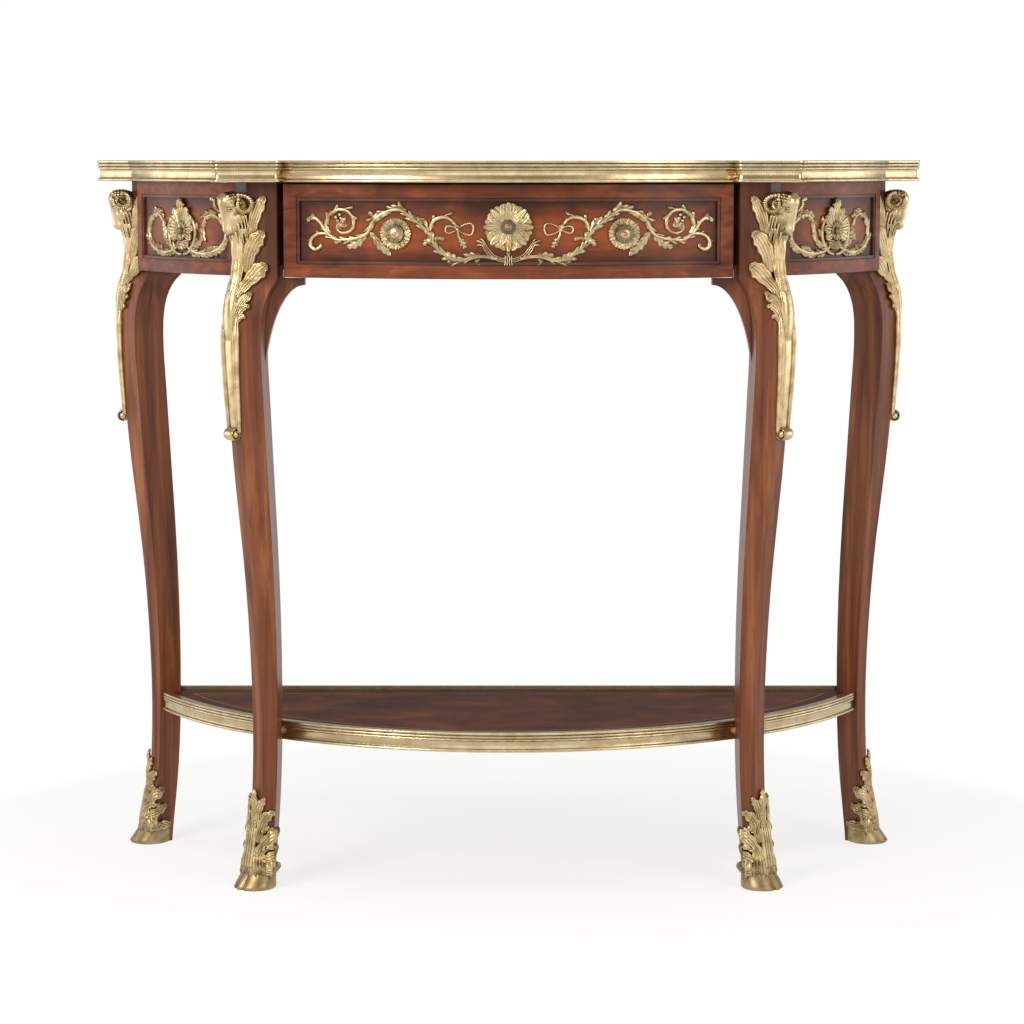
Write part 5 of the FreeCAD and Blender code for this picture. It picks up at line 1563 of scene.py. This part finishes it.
# Castings of the apron
class BowWrap:
    """Wrap of a flat relief onto the face of an upright cylinder."""

    def __init__(self, centre_y: float, radius: float, level: float, bearing: float = 0.0) -> None:
        """Set out the cylinder.

        Args:
            centre_y: Y of its axis.
            radius: Its radius.
            level: Height of the middle of the relief.
            bearing: Direction of the middle of the relief from the front, in degrees.
        """
        self.centre_y = centre_y
        self.radius = radius
        self.level = level
        self.bearing = math.radians(bearing)

    def drawn(self, points: Array) -> Array:
        """Wrap a relief that is drawn as seen from the front."""
        return self._round(points, np.arcsin(np.clip(points[:, 0] / self.radius, -0.99, 0.99)))

    def rolled(self, points: Array) -> Array:
        """Wrap a relief that is drawn as laid flat."""
        return self._round(points, self.bearing + points[:, 0] / self.radius)

    def _round(self, points: Array, angle: Array) -> Array:
        """Place points on the cylinder.

        Args:
            points: Flat points.
            angle: Direction of each.

        Returns:
            Points in the frame of the table.
        """
        out = self.radius + points[:, 2]
        x, y = out * np.sin(angle), self.centre_y - out * np.cos(angle)
        return np.stack([x, y, self.level + points[:, 1]], axis=1)


@dataclass
class Rosette:
    """Rosette in the middle of the drawer, in a cradle of tied reeds.

    Attributes:
        radius: Radius to the tips of the petals.
        lift: How far its middle is over the middle of the drawer.
    """

    radius: float = 26.2
    lift: float = 5.7

    def draw(self) -> Relief:
        """Draw the rosette flat.

        Returns:
            The relief.
        """
        relief = Relief()
        relief.flower((0.0, self.lift), self.radius, 8, 9.0, 5.8, 90.0, 0.18, 1)
        for sign in (-1.0, 1.0):
            for spread, reach, droop in ((0.0, 32.0, -8.2), (2.3, 36.5, -10.4), (4.6, 36.0, -15.4)):
                path = ((sign * 1.0, -31.2 - 0.9 * spread), (sign * 9.5, -30.4 - 0.9 * spread),
                        (sign * (17.6 + 0.4 * spread), -26.4 - 0.9 * spread),
                        (sign * (23.6 + 0.7 * spread), -19.6 - 0.7 * spread),
                        (sign * (28.2 + 0.5 * spread), -12.2 - 0.8 * spread), (sign * reach, droop),
                        (sign * (reach + 1.6), droop - 2.6))
                relief.stem(path, ((0, 0.85), (0.7, 0.95), (0.88, 1.7), (1, 0.8)), 2.0)
        for place in (-3.6, -1.2, 1.2, 3.6):
            relief.stem(((place * 1.3, -39.5), (place, -35.0), (place, -27.5)),
                        ((0, 1.2), (0.5, 1.1), (1, 0.9)), 2.4)
        relief.leaf(((0, -22), (0, -27), (0, -31)), 3.4, 2, 3.5, 1.0, 0.4, 0.3, 0.7, 30)
        return relief


@dataclass
class Spray:
    """Scrolling spray beside the rosette, drawn for the left side of the drawer.

    Attributes:
        mirrored: Whether it is turned over for the right side.
        shift: How much further out the turned one reaches.
    """

    mirrored: bool = False
    shift: float = 0.0

    def _stems(self, relief: Relief) -> None:
        """Main stem, end scroll and curls.

        Args:
            relief: What it is drawn on.
        """
        main = ((-12, -32), (-24, -29.5), (-35, -29), (-46, -31.5), (-56, -33.5), (-68, -31), (-79, -24),
                (-87.5, -15), (-92.5, -3), (-103, 8), (-115, 17.5), (-124, 24), (-133, 26), (-147, 22),
                (-158, 14), (-163, 5), (-164.5, 0))
        scroll = ((-163, 4), (-168, -3), (-177, -7.5), (-190, -9.5), (-203, -10), (-212, -5), (-216.5, 6),
                  (-213, 18), (-202, 25.5), (-189, 23), (-182.5, 12), (-186, 1.5), (-196, -2), (-203.5, 3),
                  (-202, 10), (-197, 12))
        upper = ((-203, -9), (-212, -5), (-219, 3), (-224, 11), (-230.5, 15.5), (-236.5, 12.5))
        lower = ((-208, -7), (-217, -3), (-227, -3.5), (-234, -9), (-235.5, -17), (-230, -21.5),
                 (-223.5, -18.5), (-223.5, -14))
        curl = ((-92, 0), (-91, 8), (-86, 14.5), (-77, 17.5), (-68.5, 15), (-63, 8), (-60.5, 3))
        relief.stem(main, ((0, 2.4), (0.2, 2.6), (0.35, 2.0), (0.6, 2.2), (0.8, 2.4), (1, 2.6)), 1.2, 2,
                    count=150)
        relief.stem(scroll, ((0, 2.6), (0.3, 2.0), (0.5, 2.3), (0.75, 2.2), (1, 1.3)), 1.2, 2, count=150)
        relief.stem(upper, ((0, 1.6), (0.5, 2.3), (0.9, 2.8), (1, 1.4)), 1.1)
        relief.stem(lower, ((0, 1.6), (0.4, 2.4), (0.85, 2.8), (1, 1.6)), 1.1, count=80)
        relief.stem(curl, ((0, 1.8), (0.4, 2.8), (1, 1.4)), 1.1, count=70)
        relief.clothe(((-34, -29), *main[3:16]), 6.0, 12.0, 3.6, 3.8)
        relief.clothe(((-166, -1), *scroll[2:11]), 6.0, 10.0, 3.0, 3.4)
        relief.clothe(curl[:6], 6.5, 10.0, 2.8, 3.2)
        relief.clothe(((-210, -6), *upper[2:5]), 6.0, 7.0, 2.4)
        relief.clothe(lower[:5], 6.0, 6.5, 2.2)

    def _leaves(self, relief: Relief) -> None:
        """Leaves that sit on the stems.

        Args:
            relief: What it is drawn on.
        """
        rows = (
            (((-164, 0), (-158, -8), (-150, -17), (-138, -29)), 5.6, 5, 2.6),
            (((-168, -4), (-175, -10), (-182, -15), (-192, -19.5)), 5.2, 4, 2.2),
            (((-163, 2), (-160, 11), (-153, 18), (-140, 24)), 4.8, 3, 3.4),
            (((-157, 13), (-160, 18), (-163, 21), (-167, 22)), 3.0, 2, 2.0),
            (((-123, 24), (-129, 29), (-135, 29.5), (-141, 27)), 3.4, 2, 2.6),
            (((-112, 15), (-105, 15), (-99, 11), (-96, 6)), 3.2, 3, 2.4),
            (((-84, -18), (-89, -13), (-92, -6), (-91, 2)), 4.6, 3, 3.4),
            (((-88, -13), (-94, -12), (-98, -14), (-100, -18)), 3.0, 2, 2.4),
            (((-88, -12), (-84, -8), (-79, -8), (-75, -11)), 2.8, 2, 2.2),
            (((-44, -31), (-53, -34), (-61, -33), (-70, -27), (-72, -22)), 5.0, 4, 3.0),
            (((-50, -33), (-58, -36), (-66, -37), (-74, -34)), 3.6, 3, 2.4),
            (((-30, -29), (-38, -27.5), (-46, -27), (-54, -28)), 3.2, 3, 2.6),
            (((-34, -31), (-37, -35), (-36, -38), (-32, -39)), 3.0, 2, 2.4),
            (((-228, 15), (-233, 17.5), (-238, 14), (-239, 9.5)), 3.2, 2, 2.2),
            (((-216, 8), (-213, 18), (-206, 25), (-198, 27.5)), 3.0, 3, 2.6),
            (((-205, 2), (-200, 6), (-196, 10), (-197, 17)), 5.0, 3, 3.2),
            (((-232, -6), (-236, -12), (-235, -18)), 2.8, 2, 2.2),
            (((-206, -9), (-205, -13), (-203, -15)), 2.4, 2, 2.0),
        )
        for path, width, lobes, rise in rows:
            relief.leaf(path, 1.3 * width, lobes, 1.3 * rise, 1.4, 0.6, 0.3, 0.5, 36, 15)

    def _flower(self, relief: Relief) -> None:
        """Flower under the arch, bow and bud.

        Args:
            relief: What it is drawn on.
        """
        relief.flower((-133.0, -2.5), 17.5, 11, 5.0, 5.2, 10.0, 0.45)
        # Turned rings of the button; the second and the last carry painted shade.
        for radius, base, dark in ((10.6, 2.4, 0.1), (7.4, 3.7, 0.6), (5.6, 4.2, 0.05), (2.6, 5.2, 0.4)):
            relief.dome((-133.5, -2.6), radius, 1.6, base, 0, dark)
        for place in ((-202, 12.5), (-198, 15.5), (-204, 16.5), (-200, 9.0), (-195.5, 11.0), (-199.5, 19.5)):
            relief.dome(place, 2.2, 2.6, 1.6)
        relief.stem(((-60, 2.5), (-66, 6.5), (-72.5, 6), (-74, 1), (-70, -1.5), (-63, 1), (-60, 2.5)),
                    ((0, 0.9), (0.5, 1.4), (1, 0.9)), 1.4)
        relief.stem(((-60, 2.5), (-53, 8), (-44, 10), (-41, 4), (-43.5, -3), (-51, -2.5), (-60, 2.5)),
                    ((0, 0.9), (0.5, 1.5), (1, 0.9)), 1.4)
        relief.dome((-60, 2.5), 2.8, 3.4)
        relief.stem(((-59.5, 2), (-58.5, -5), (-55.5, -10)), ((0, 1.4), (1, 1.8)), 1.2)
        relief.leaf(((-57, -7), (-54, -13), (-50, -20)), 4.6, 3, 3.4, 1.2, 0.5, 0.35, 0.7, 40)

    def draw(self) -> Relief:
        """Draw the spray flat.

        Returns:
            The relief.
        """
        relief = Relief()
        self._stems(relief)
        self._leaves(relief)
        self._flower(relief)
        if not self.mirrored:
            return relief
        flipped = Relief()
        flipped.merge(relief, self._turned)
        return flipped

    def _turned(self, points: Array) -> Array:
        """Turn points over to the right side."""
        x = -points[:, 0] + self.shift * np.clip(-points[:, 0] / 150.0, 0, 1)
        return np.stack([x, points[:, 1], points[:, 2]], axis=1)


@dataclass
class ShellMount:
    """Feathered shell between wide scrolls, for the middle of a side panel.

    Attributes:
        feather: Length of the longest feather.
        squash: Height of the scrolls as a share of what is drawn.
    """

    feather: float = 34.0
    squash: float = 0.84

    def _shell(self, relief: Relief) -> None:
        """Feathered shell with a flower in it.

        Args:
            relief: What it is drawn on.
        """
        for angle in range(-112, 113, 28):
            turn = math.radians(angle)
            long = self.feather - 7.0 * abs(angle) / 90.0
            x, z = math.sin(turn), math.cos(turn)
            path = [(x * share * long, -3 + z * share * long) for share in (0.1, 0.45, 0.75, 1.0)]
            relief.blade(path, 8.2, 3, 4.6, 3.6, 0.45, 0.24, 36)
        relief.blade(((0, 2), (0, 14), (0, 26), (0, 37)), 8.6, 5, 6.4, 3.6, 0.5, 0.24, 36)
        relief.flower((0.0, -4.0), 10.5, 6, 8.6, 3.0, 0.0, 0.3, 1)
        for angle in (140, 160, 180, 200, 220):
            turn = math.radians(angle)
            x, z = math.sin(turn), math.cos(turn)
            path = [(x * share * 20, -11 + z * share * 17) for share in (0.1, 0.5, 1.0)]
            relief.leaf(path, 5.6, 4, 4.4, 2.0, 0.55, 0.22, 0.6, 36, 15)

    def _turned(self, sign: float, points: Sequence[Point2]) -> List[Point2]:
        """Points of the drawn scroll on one side, pressed to its height."""
        return [(sign * x, self.squash * z - 0.5) for x, z in points]

    def _scroll(self, relief: Relief, sign: float) -> None:
        """Leafy scroll on one side.

        Args:
            relief: What it is drawn on.
            sign: Which side.
        """
        lyre = ((2, -39), (15, -35), (26, -22), (30, -4), (26, 10), (20, 13), (18, 7))
        wide = ((10, -27), (26, -34), (46, -36), (66, -32), (82, -22), (87, -6), (80, 10), (66, 20), (52, 17),
                (45, 6), (44, -8), (38, -22))
        turned = partial(self._turned, sign)
        relief.stem(turned(lyre), ((0, 2.0), (0.5, 2.4), (0.85, 2.6), (1, 1.4)), 1.4, 2, count=70)
        relief.clothe(turned(((13, -36), *lyre[2:5])), 7.0, 9.0, 3.0, 3.4)
        relief.stem(turned(wide), ((0, 2.0), (0.3, 2.4), (0.6, 2.2), (0.85, 2.0), (1, 1.4)), 1.1, count=140)
        relief.clothe(turned(((12, -28), *wide[1:11])), 7.0, 10.5, 3.4, 3.4)
        rows = (
            (((30, -34), (44, -38), (58, -37), (70, -32)), 6.5, 5),
            (((60, -34), (74, -30), (84, -20), (88, -8)), 6.5, 5),
            (((86, -12), (88, 0), (82, 12), (72, 19)), 5.6, 5),
            (((70, 20), (60, 24), (50, 22), (44, 14)), 5.0, 4),
            (((48, 10), (44, 0), (42, -12), (36, -22)), 5.4, 5),
            (((14, -30), (24, -26), (34, -22), (42, -14)), 6.0, 5),
            (((20, -33), (24, -38), (32, -40), (40, -40)), 4.2, 3),
            (((84, -18), (90, -18), (93, -14), (94, -8)), 3.6, 3),
            (((46, -36), (54, -30), (62, -27), (70, -27)), 4.6, 4),
        )
        for path, width, lobes in rows:
            relief.leaf(turned(path), width, lobes, 3.6, 1.6, 0.6, 0.22, 0.5, 36, 15)
        relief.dome((sign * 66.0, 14.0), 3.0, 3.2)
        relief.dome((sign * 83.0, 4.0), 3.0, 3.2)

    def draw(self) -> Relief:
        """Draw the mount flat.

        Returns:
            The relief.
        """
        relief = Relief()
        self._shell(relief)
        for sign in (-1.0, 1.0):
            self._scroll(relief, sign)
        return relief


# The table put together
@dataclass
class Dresser:
    """Gives each CAD piece its finish and puts the chased castings in place of the plain ones.

    Attributes:
        nodes: CAD nodes by name.
        slots: Material slot of each node.
        materials: Materials by name, once they are built.
        weld_gap: Distance at which points of a CAD mesh are joined, in metres.
        smooth_angle: Angle up to which its faces look like one curve, in degrees.
    """

    nodes: Dict[str, bpy.types.Object]
    slots: Dict[str, str]
    materials: Dict[str, Material] = field(default_factory=dict)
    weld_gap: float = 2e-6
    smooth_angle: float = 28.0

    def finishes(self) -> None:
        """Build the material of every slot."""
        mahogany = (linear(74, 38, 21), linear(110, 61, 35), linear(142, 86, 51))
        panel = (linear(58, 26, 13), linear(102, 49, 24), linear(142, 74, 36))
        board = (linear(50, 24, 15), linear(84, 44, 28), linear(116, 66, 42))
        upright = (70.0, 70.0, 3.2)
        level = (7.0, 60.0, 90.0)
        figured = (10.0, 26.0, 20.0)
        bead = (linear(50, 26, 16), linear(80, 44, 27), linear(108, 62, 38))
        bronze = (linear(214, 190, 146), linear(172, 148, 104), linear(34, 22, 10))
        worked = (linear(216, 194, 152), linear(172, 148, 106), linear(34, 22, 10))
        pale = (linear(202, 184, 148), linear(184, 163, 124), linear(84, 66, 40))
        frieze = SIZES.under_top * MM
        shelf = (SIZES.shelf_top - SIZES.shelf_band) * MM
        top_strip = (frieze + SIZES.top_reeds[0] * MM, frieze + SIZES.top_reeds[1] * MM)
        shelf_strip = (shelf + SIZES.shelf_reeds[0] * MM, shelf + SIZES.shelf_reeds[1] * MM)
        made = (
            WoodFinish("leg_mahogany", *mahogany, upright, 0.1, edge=0.7, shade_under_top=0.62),
            WoodFinish("drawer_mahogany", *panel, level, 0.35, 0.36, 0.06, 0.3, field_light=PaintedFieldLight.DRAWER),
            WoodFinish("side_mahogany", *panel, level, 0.35, 0.36, 0.06, 0.3, field_light=PaintedFieldLight.SIDE),
            WoodFinish("top_veneer", *board, figured, 0.5, 0.42, 0.02, 0.3, 0.1, inlay=Inlay.TOP),
            WoodFinish("shelf_veneer", *board, figured, 0.5, 0.42, 0.0, 0.3, 0.05, inlay=Inlay.SHELF),
            WoodFinish("bead_wood", *bead, level, edge=0.2, gloss=0.22),
            PlainFinish("oak", linear(150, 112, 72)),
            PlainFinish("screw_steel", linear(150, 150, 150), 0.35, 1.0),
            MetalFinish("leg_bronze", *bronze, 0.26, 0.74),
            MetalFinish("panel_bronze", *worked, 0.28, 0.9),
            MetalFinish("brass_pin", *pale, 0.3),
            MetalFinish("top_brass", *pale, 0.22, 0.5, top_strip),
            MetalFinish("shelf_brass", *pale, 0.22, 0.5, shelf_strip),
        )
        self.materials = {finish.name: finish.material() for finish in made}

    def _finish_of(self, node: str) -> Material:
        """The material of a CAD node.

        Args:
            node: Name of the node.

        Returns:
            Its material.
        """
        special = {
            "drawer_front": "drawer_mahogany",
            "side_panel_left": "side_mahogany",
            "side_panel_right": "side_mahogany",
            "top_panel": "top_veneer",
            "shelf_panel": "shelf_veneer",
        }
        return self.materials[special.get(node, self.slots[node])]

    def dress_nodes(self) -> None:
        """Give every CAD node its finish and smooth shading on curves."""
        for name, piece in self.nodes.items():
            mesh = piece.data
            finish = self._finish_of(name)
            mesh.materials.clear()
            mesh.materials.append(finish)
            mesh.shade_smooth()
            weld = piece.modifiers.new("weld", "WELD")
            weld.merge_threshold = self.weld_gap
            split = piece.modifiers.new("split", "EDGE_SPLIT")
            split.split_angle = math.radians(self.smooth_angle)
            LOG.info("%s has the finish %s", name, finish.name)

    def put(self, name: str, mesh: bpy.types.Mesh, node: str, body: str,
            matrix: Optional[Matrix] = None) -> None:
        """Show a casting in place of a plain CAD node.

        Args:
            name: Name of the piece.
            mesh: Its mesh.
            node: The CAD node that it stands for.
            body: The CAD body that it moves with.
            matrix: Where it is, or None.
        """
        piece = bpy.data.objects.new(name, mesh)
        bpy.context.scene.collection.objects.link(piece)
        if matrix is not None:
            piece.matrix_world = matrix
        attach(piece, body)
        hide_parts(node)
        LOG.info("%s stands for %s on the %s", name, node, body)

    def dress_legs(self) -> None:
        """Put the castings on the four legs."""
        leg = LegShape(self.nodes["leg_rear_right"])
        bronze = self.materials["leg_bronze"]
        meshes = {
            "ram_head": RamHead(leg).build().mesh("ram_head", bronze),
            "chute": Chute(leg).build().mesh("chute", bronze),
            "sabot": Sabot(leg).build().mesh("sabot", bronze),
        }
        for corner in Corner:
            x, y, turn = SIZES.leg_place(corner)
            matrix = Matrix.Translation((x * MM, y * MM, 0.0)) @ Matrix.Rotation(math.radians(turn), 4, "Z")
            for kind, mesh in meshes.items():
                node = f"{kind}_{corner.value}"
                self.put(f"{node}_cast", mesh, node, "carcase", matrix)

    def dress_apron(self) -> None:
        """Put the castings on the drawer and on the side panels."""
        bronze = self.materials["panel_bronze"]
        ground = BowWrap(SIZES.drawer_y, SIZES.drawer_bow - SIZES.field_depth, SIZES.drawer_middle)
        reliefs = {
            "drawer_rosette": Rosette().draw(),
            "drawer_spray_left": Spray().draw(),
            "drawer_spray_right": Spray(True, 4.0).draw(),
        }
        for node, relief in reliefs.items():
            casting = Casting()
            casting.merge(relief, ground.drawn)
            self.put(f"{node}_cast", casting.mesh(node, bronze), node, "drawer")
        for side, sign in (("left", -1.0), ("right", 1.0)):
            middle = (SIZES.apron + SIZES.under_top) / 2
            panel = BowWrap(SIZES.arc_y, SIZES.side_radius - SIZES.field_depth, middle,
                            sign * SIZES.mount_bearing)
            casting = Casting()
            casting.merge(ShellMount().draw(), panel.rolled)
            node = f"side_mount_{side}"
            self.put(f"{node}_cast", casting.mesh(node, bronze), node, "carcase")


@dataclass(frozen=True)
class Lamp:
    """Soft lamp aimed at the table.

    Attributes:
        name: Name of the lamp.
        place: Where it stands, in metres.
        aim: Where it points.
        size: Width and height.
        power: Its power in watts.
        colour: Its colour.
    """

    name: str
    place: Point3
    aim: Point3
    size: Point2
    power: float
    colour: Colour = (1.0, 1.0, 1.0)

    def build(self) -> None:
        """Add the lamp to the scene."""
        data = bpy.data.lights.new(self.name, "AREA")
        data.shape = "RECTANGLE"
        data.size = self.size[0]
        data.size_y = self.size[1]
        data.energy = self.power
        data.color = self.colour
        lamp = bpy.data.objects.new(self.name, data)
        lamp.location = self.place
        towards = Vector(self.aim) - Vector(self.place)
        lamp.rotation_euler = towards.to_track_quat("-Z", "Y").to_euler()
        lamp.visible_camera = False
        bpy.context.scene.collection.objects.link(lamp)


@dataclass
class Studio:
    """Pale floor, white surroundings, soft lamps and the camera.

    Attributes:
        eye: Where the camera is, in metres.
        pitch: How far it looks down, in degrees.
        lens: Its focal length in millimetres.
        backdrop: Strength of the white that the camera sees.
        ambience: Strength of the light from all round.
        floor_reach: Half width of the floor, in metres.
        floor_white: Share of plain white in the floor under the table.
        floor_fade: Distances between which the floor turns all white, in metres.
        lamps: The lamps.
    """

    eye: Point3 = (0.00425, -3.677, 0.889)
    pitch: float = 6.79
    lens: float = 103.8
    backdrop: float = 1.0
    ambience: float = 0.4
    floor_reach: float = 30.0
    floor_white: float = 0.76
    floor_fade: Point2 = (0.5, 0.9)
    lamps: Tuple[Lamp, ...] = (
        Lamp("key", (-2.2, -2.7, 2.0), (0.0, 0.0, 0.55), (1.2, 1.2), 80.0, (1.0, 0.955, 0.89)),
        Lamp("fill", (2.3, -2.6, 1.5), (0.0, 0.0, 0.5), (1.2, 1.8), 32.0, (1.0, 0.96, 0.91)),
        Lamp("over", (0.0, -0.4, 2.9), (0.0, 0.0, 0.0), (2.6, 2.0), 34.0),
        Lamp("left", (-3.0, 0.6, 0.95), (-0.3, 0.0, 0.8), (1.8, 1.3), 14.5),
        Lamp("right", (3.0, 0.6, 0.95), (0.3, 0.0, 0.8), (1.8, 1.3), 14.5),
        Lamp("low", (0.0, -3.0, 0.35), (0.0, 0.0, 0.35), (2.6, 0.8), 8.0),
    )

    def _world(self) -> None:
        """White surroundings for the camera, softer light for the rest."""
        world = bpy.data.worlds.new("studio")
        bpy.context.scene.world = world
        world.use_nodes = True
        tree = world.node_tree
        tree.nodes.clear()
        path = tree.nodes.new("ShaderNodeLightPath")
        mixed = tree.nodes.new("ShaderNodeMixShader")
        output = tree.nodes.new("ShaderNodeOutputWorld")
        tree.links.new(path.outputs["Is Camera Ray"], mixed.inputs[0])
        light, seen = (1.0, 0.98, 0.95, 1.0), (1.0, 1.0, 1.0, 1.0)
        for place, colour, strength in ((1, light, self.ambience), (2, seen, self.backdrop)):
            shader = tree.nodes.new("ShaderNodeBackground")
            shader.inputs["Color"].default_value = colour
            shader.inputs["Strength"].default_value = strength
            tree.links.new(shader.outputs[0], mixed.inputs[place])
        tree.links.new(mixed.outputs[0], output.inputs["Surface"])

    def _floor(self) -> None:
        """Wide white floor that takes a soft shadow under the table and fades into the white surroundings."""
        mesh = bpy.data.meshes.new("floor")
        reach = self.floor_reach
        corners = [(-reach, -reach, 0), (reach, -reach, 0), (reach, reach, 0), (-reach, reach, 0)]
        mesh.from_pydata(corners, [], [(0, 1, 2, 3)])
        graph = Graph("floor")
        x, y = graph.place()[1:3]
        away = graph.length(x, y)
        ground = graph.node("ShaderNodeBsdfDiffuse", {"Color": (0.92, 0.92, 0.92)}).outputs[0]
        glow = graph.node("ShaderNodeEmission", {"Color": (1.0, 1.0, 1.0), "Strength": 1.0}).outputs[0]
        share = graph.math("MAXIMUM", self.floor_white, graph.step(away, *self.floor_fade))
        mixed = graph.node("ShaderNodeMixShader", {0: share, 1: ground, 2: glow}).outputs[0]
        output = graph.node("ShaderNodeOutputMaterial")
        graph.tree.links.new(mixed, output.inputs["Surface"])
        mesh.materials.append(graph.material)
        floor = bpy.data.objects.new("floor", mesh)
        bpy.context.scene.collection.objects.link(floor)

    def _camera(self) -> None:
        """Camera at the height of the top, looking a little down."""
        data = bpy.data.cameras.new("camera")
        data.lens = self.lens
        data.sensor_width = 36.0
        data.clip_end = 200.0
        camera = bpy.data.objects.new("camera", data)
        camera.location = self.eye
        camera.rotation_euler = (math.radians(90.0 - self.pitch), 0.0, 0.0)
        bpy.context.scene.collection.objects.link(camera)
        bpy.context.scene.camera = camera

    def build(self) -> None:
        """Set up the whole studio."""
        self._world()
        self._floor()
        self._camera()
        for lamp in self.lamps:
            lamp.build()
        bpy.context.scene.view_settings.view_transform = "Standard"


def main() -> None:
    """Dress the frame and set up the studio."""
    logging.basicConfig(level=logging.INFO)
    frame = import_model()
    slots = {entry["node"]: entry["material_slot"] for entry in frame["record"]["subparts"]}
    dresser = Dresser(frame["nodes"], slots)
    dresser.finishes()
    dresser.dress_nodes()
    dresser.dress_legs()
    dresser.dress_apron()
    Studio().build()
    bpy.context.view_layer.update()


if __name__ == "__main__":
    main()
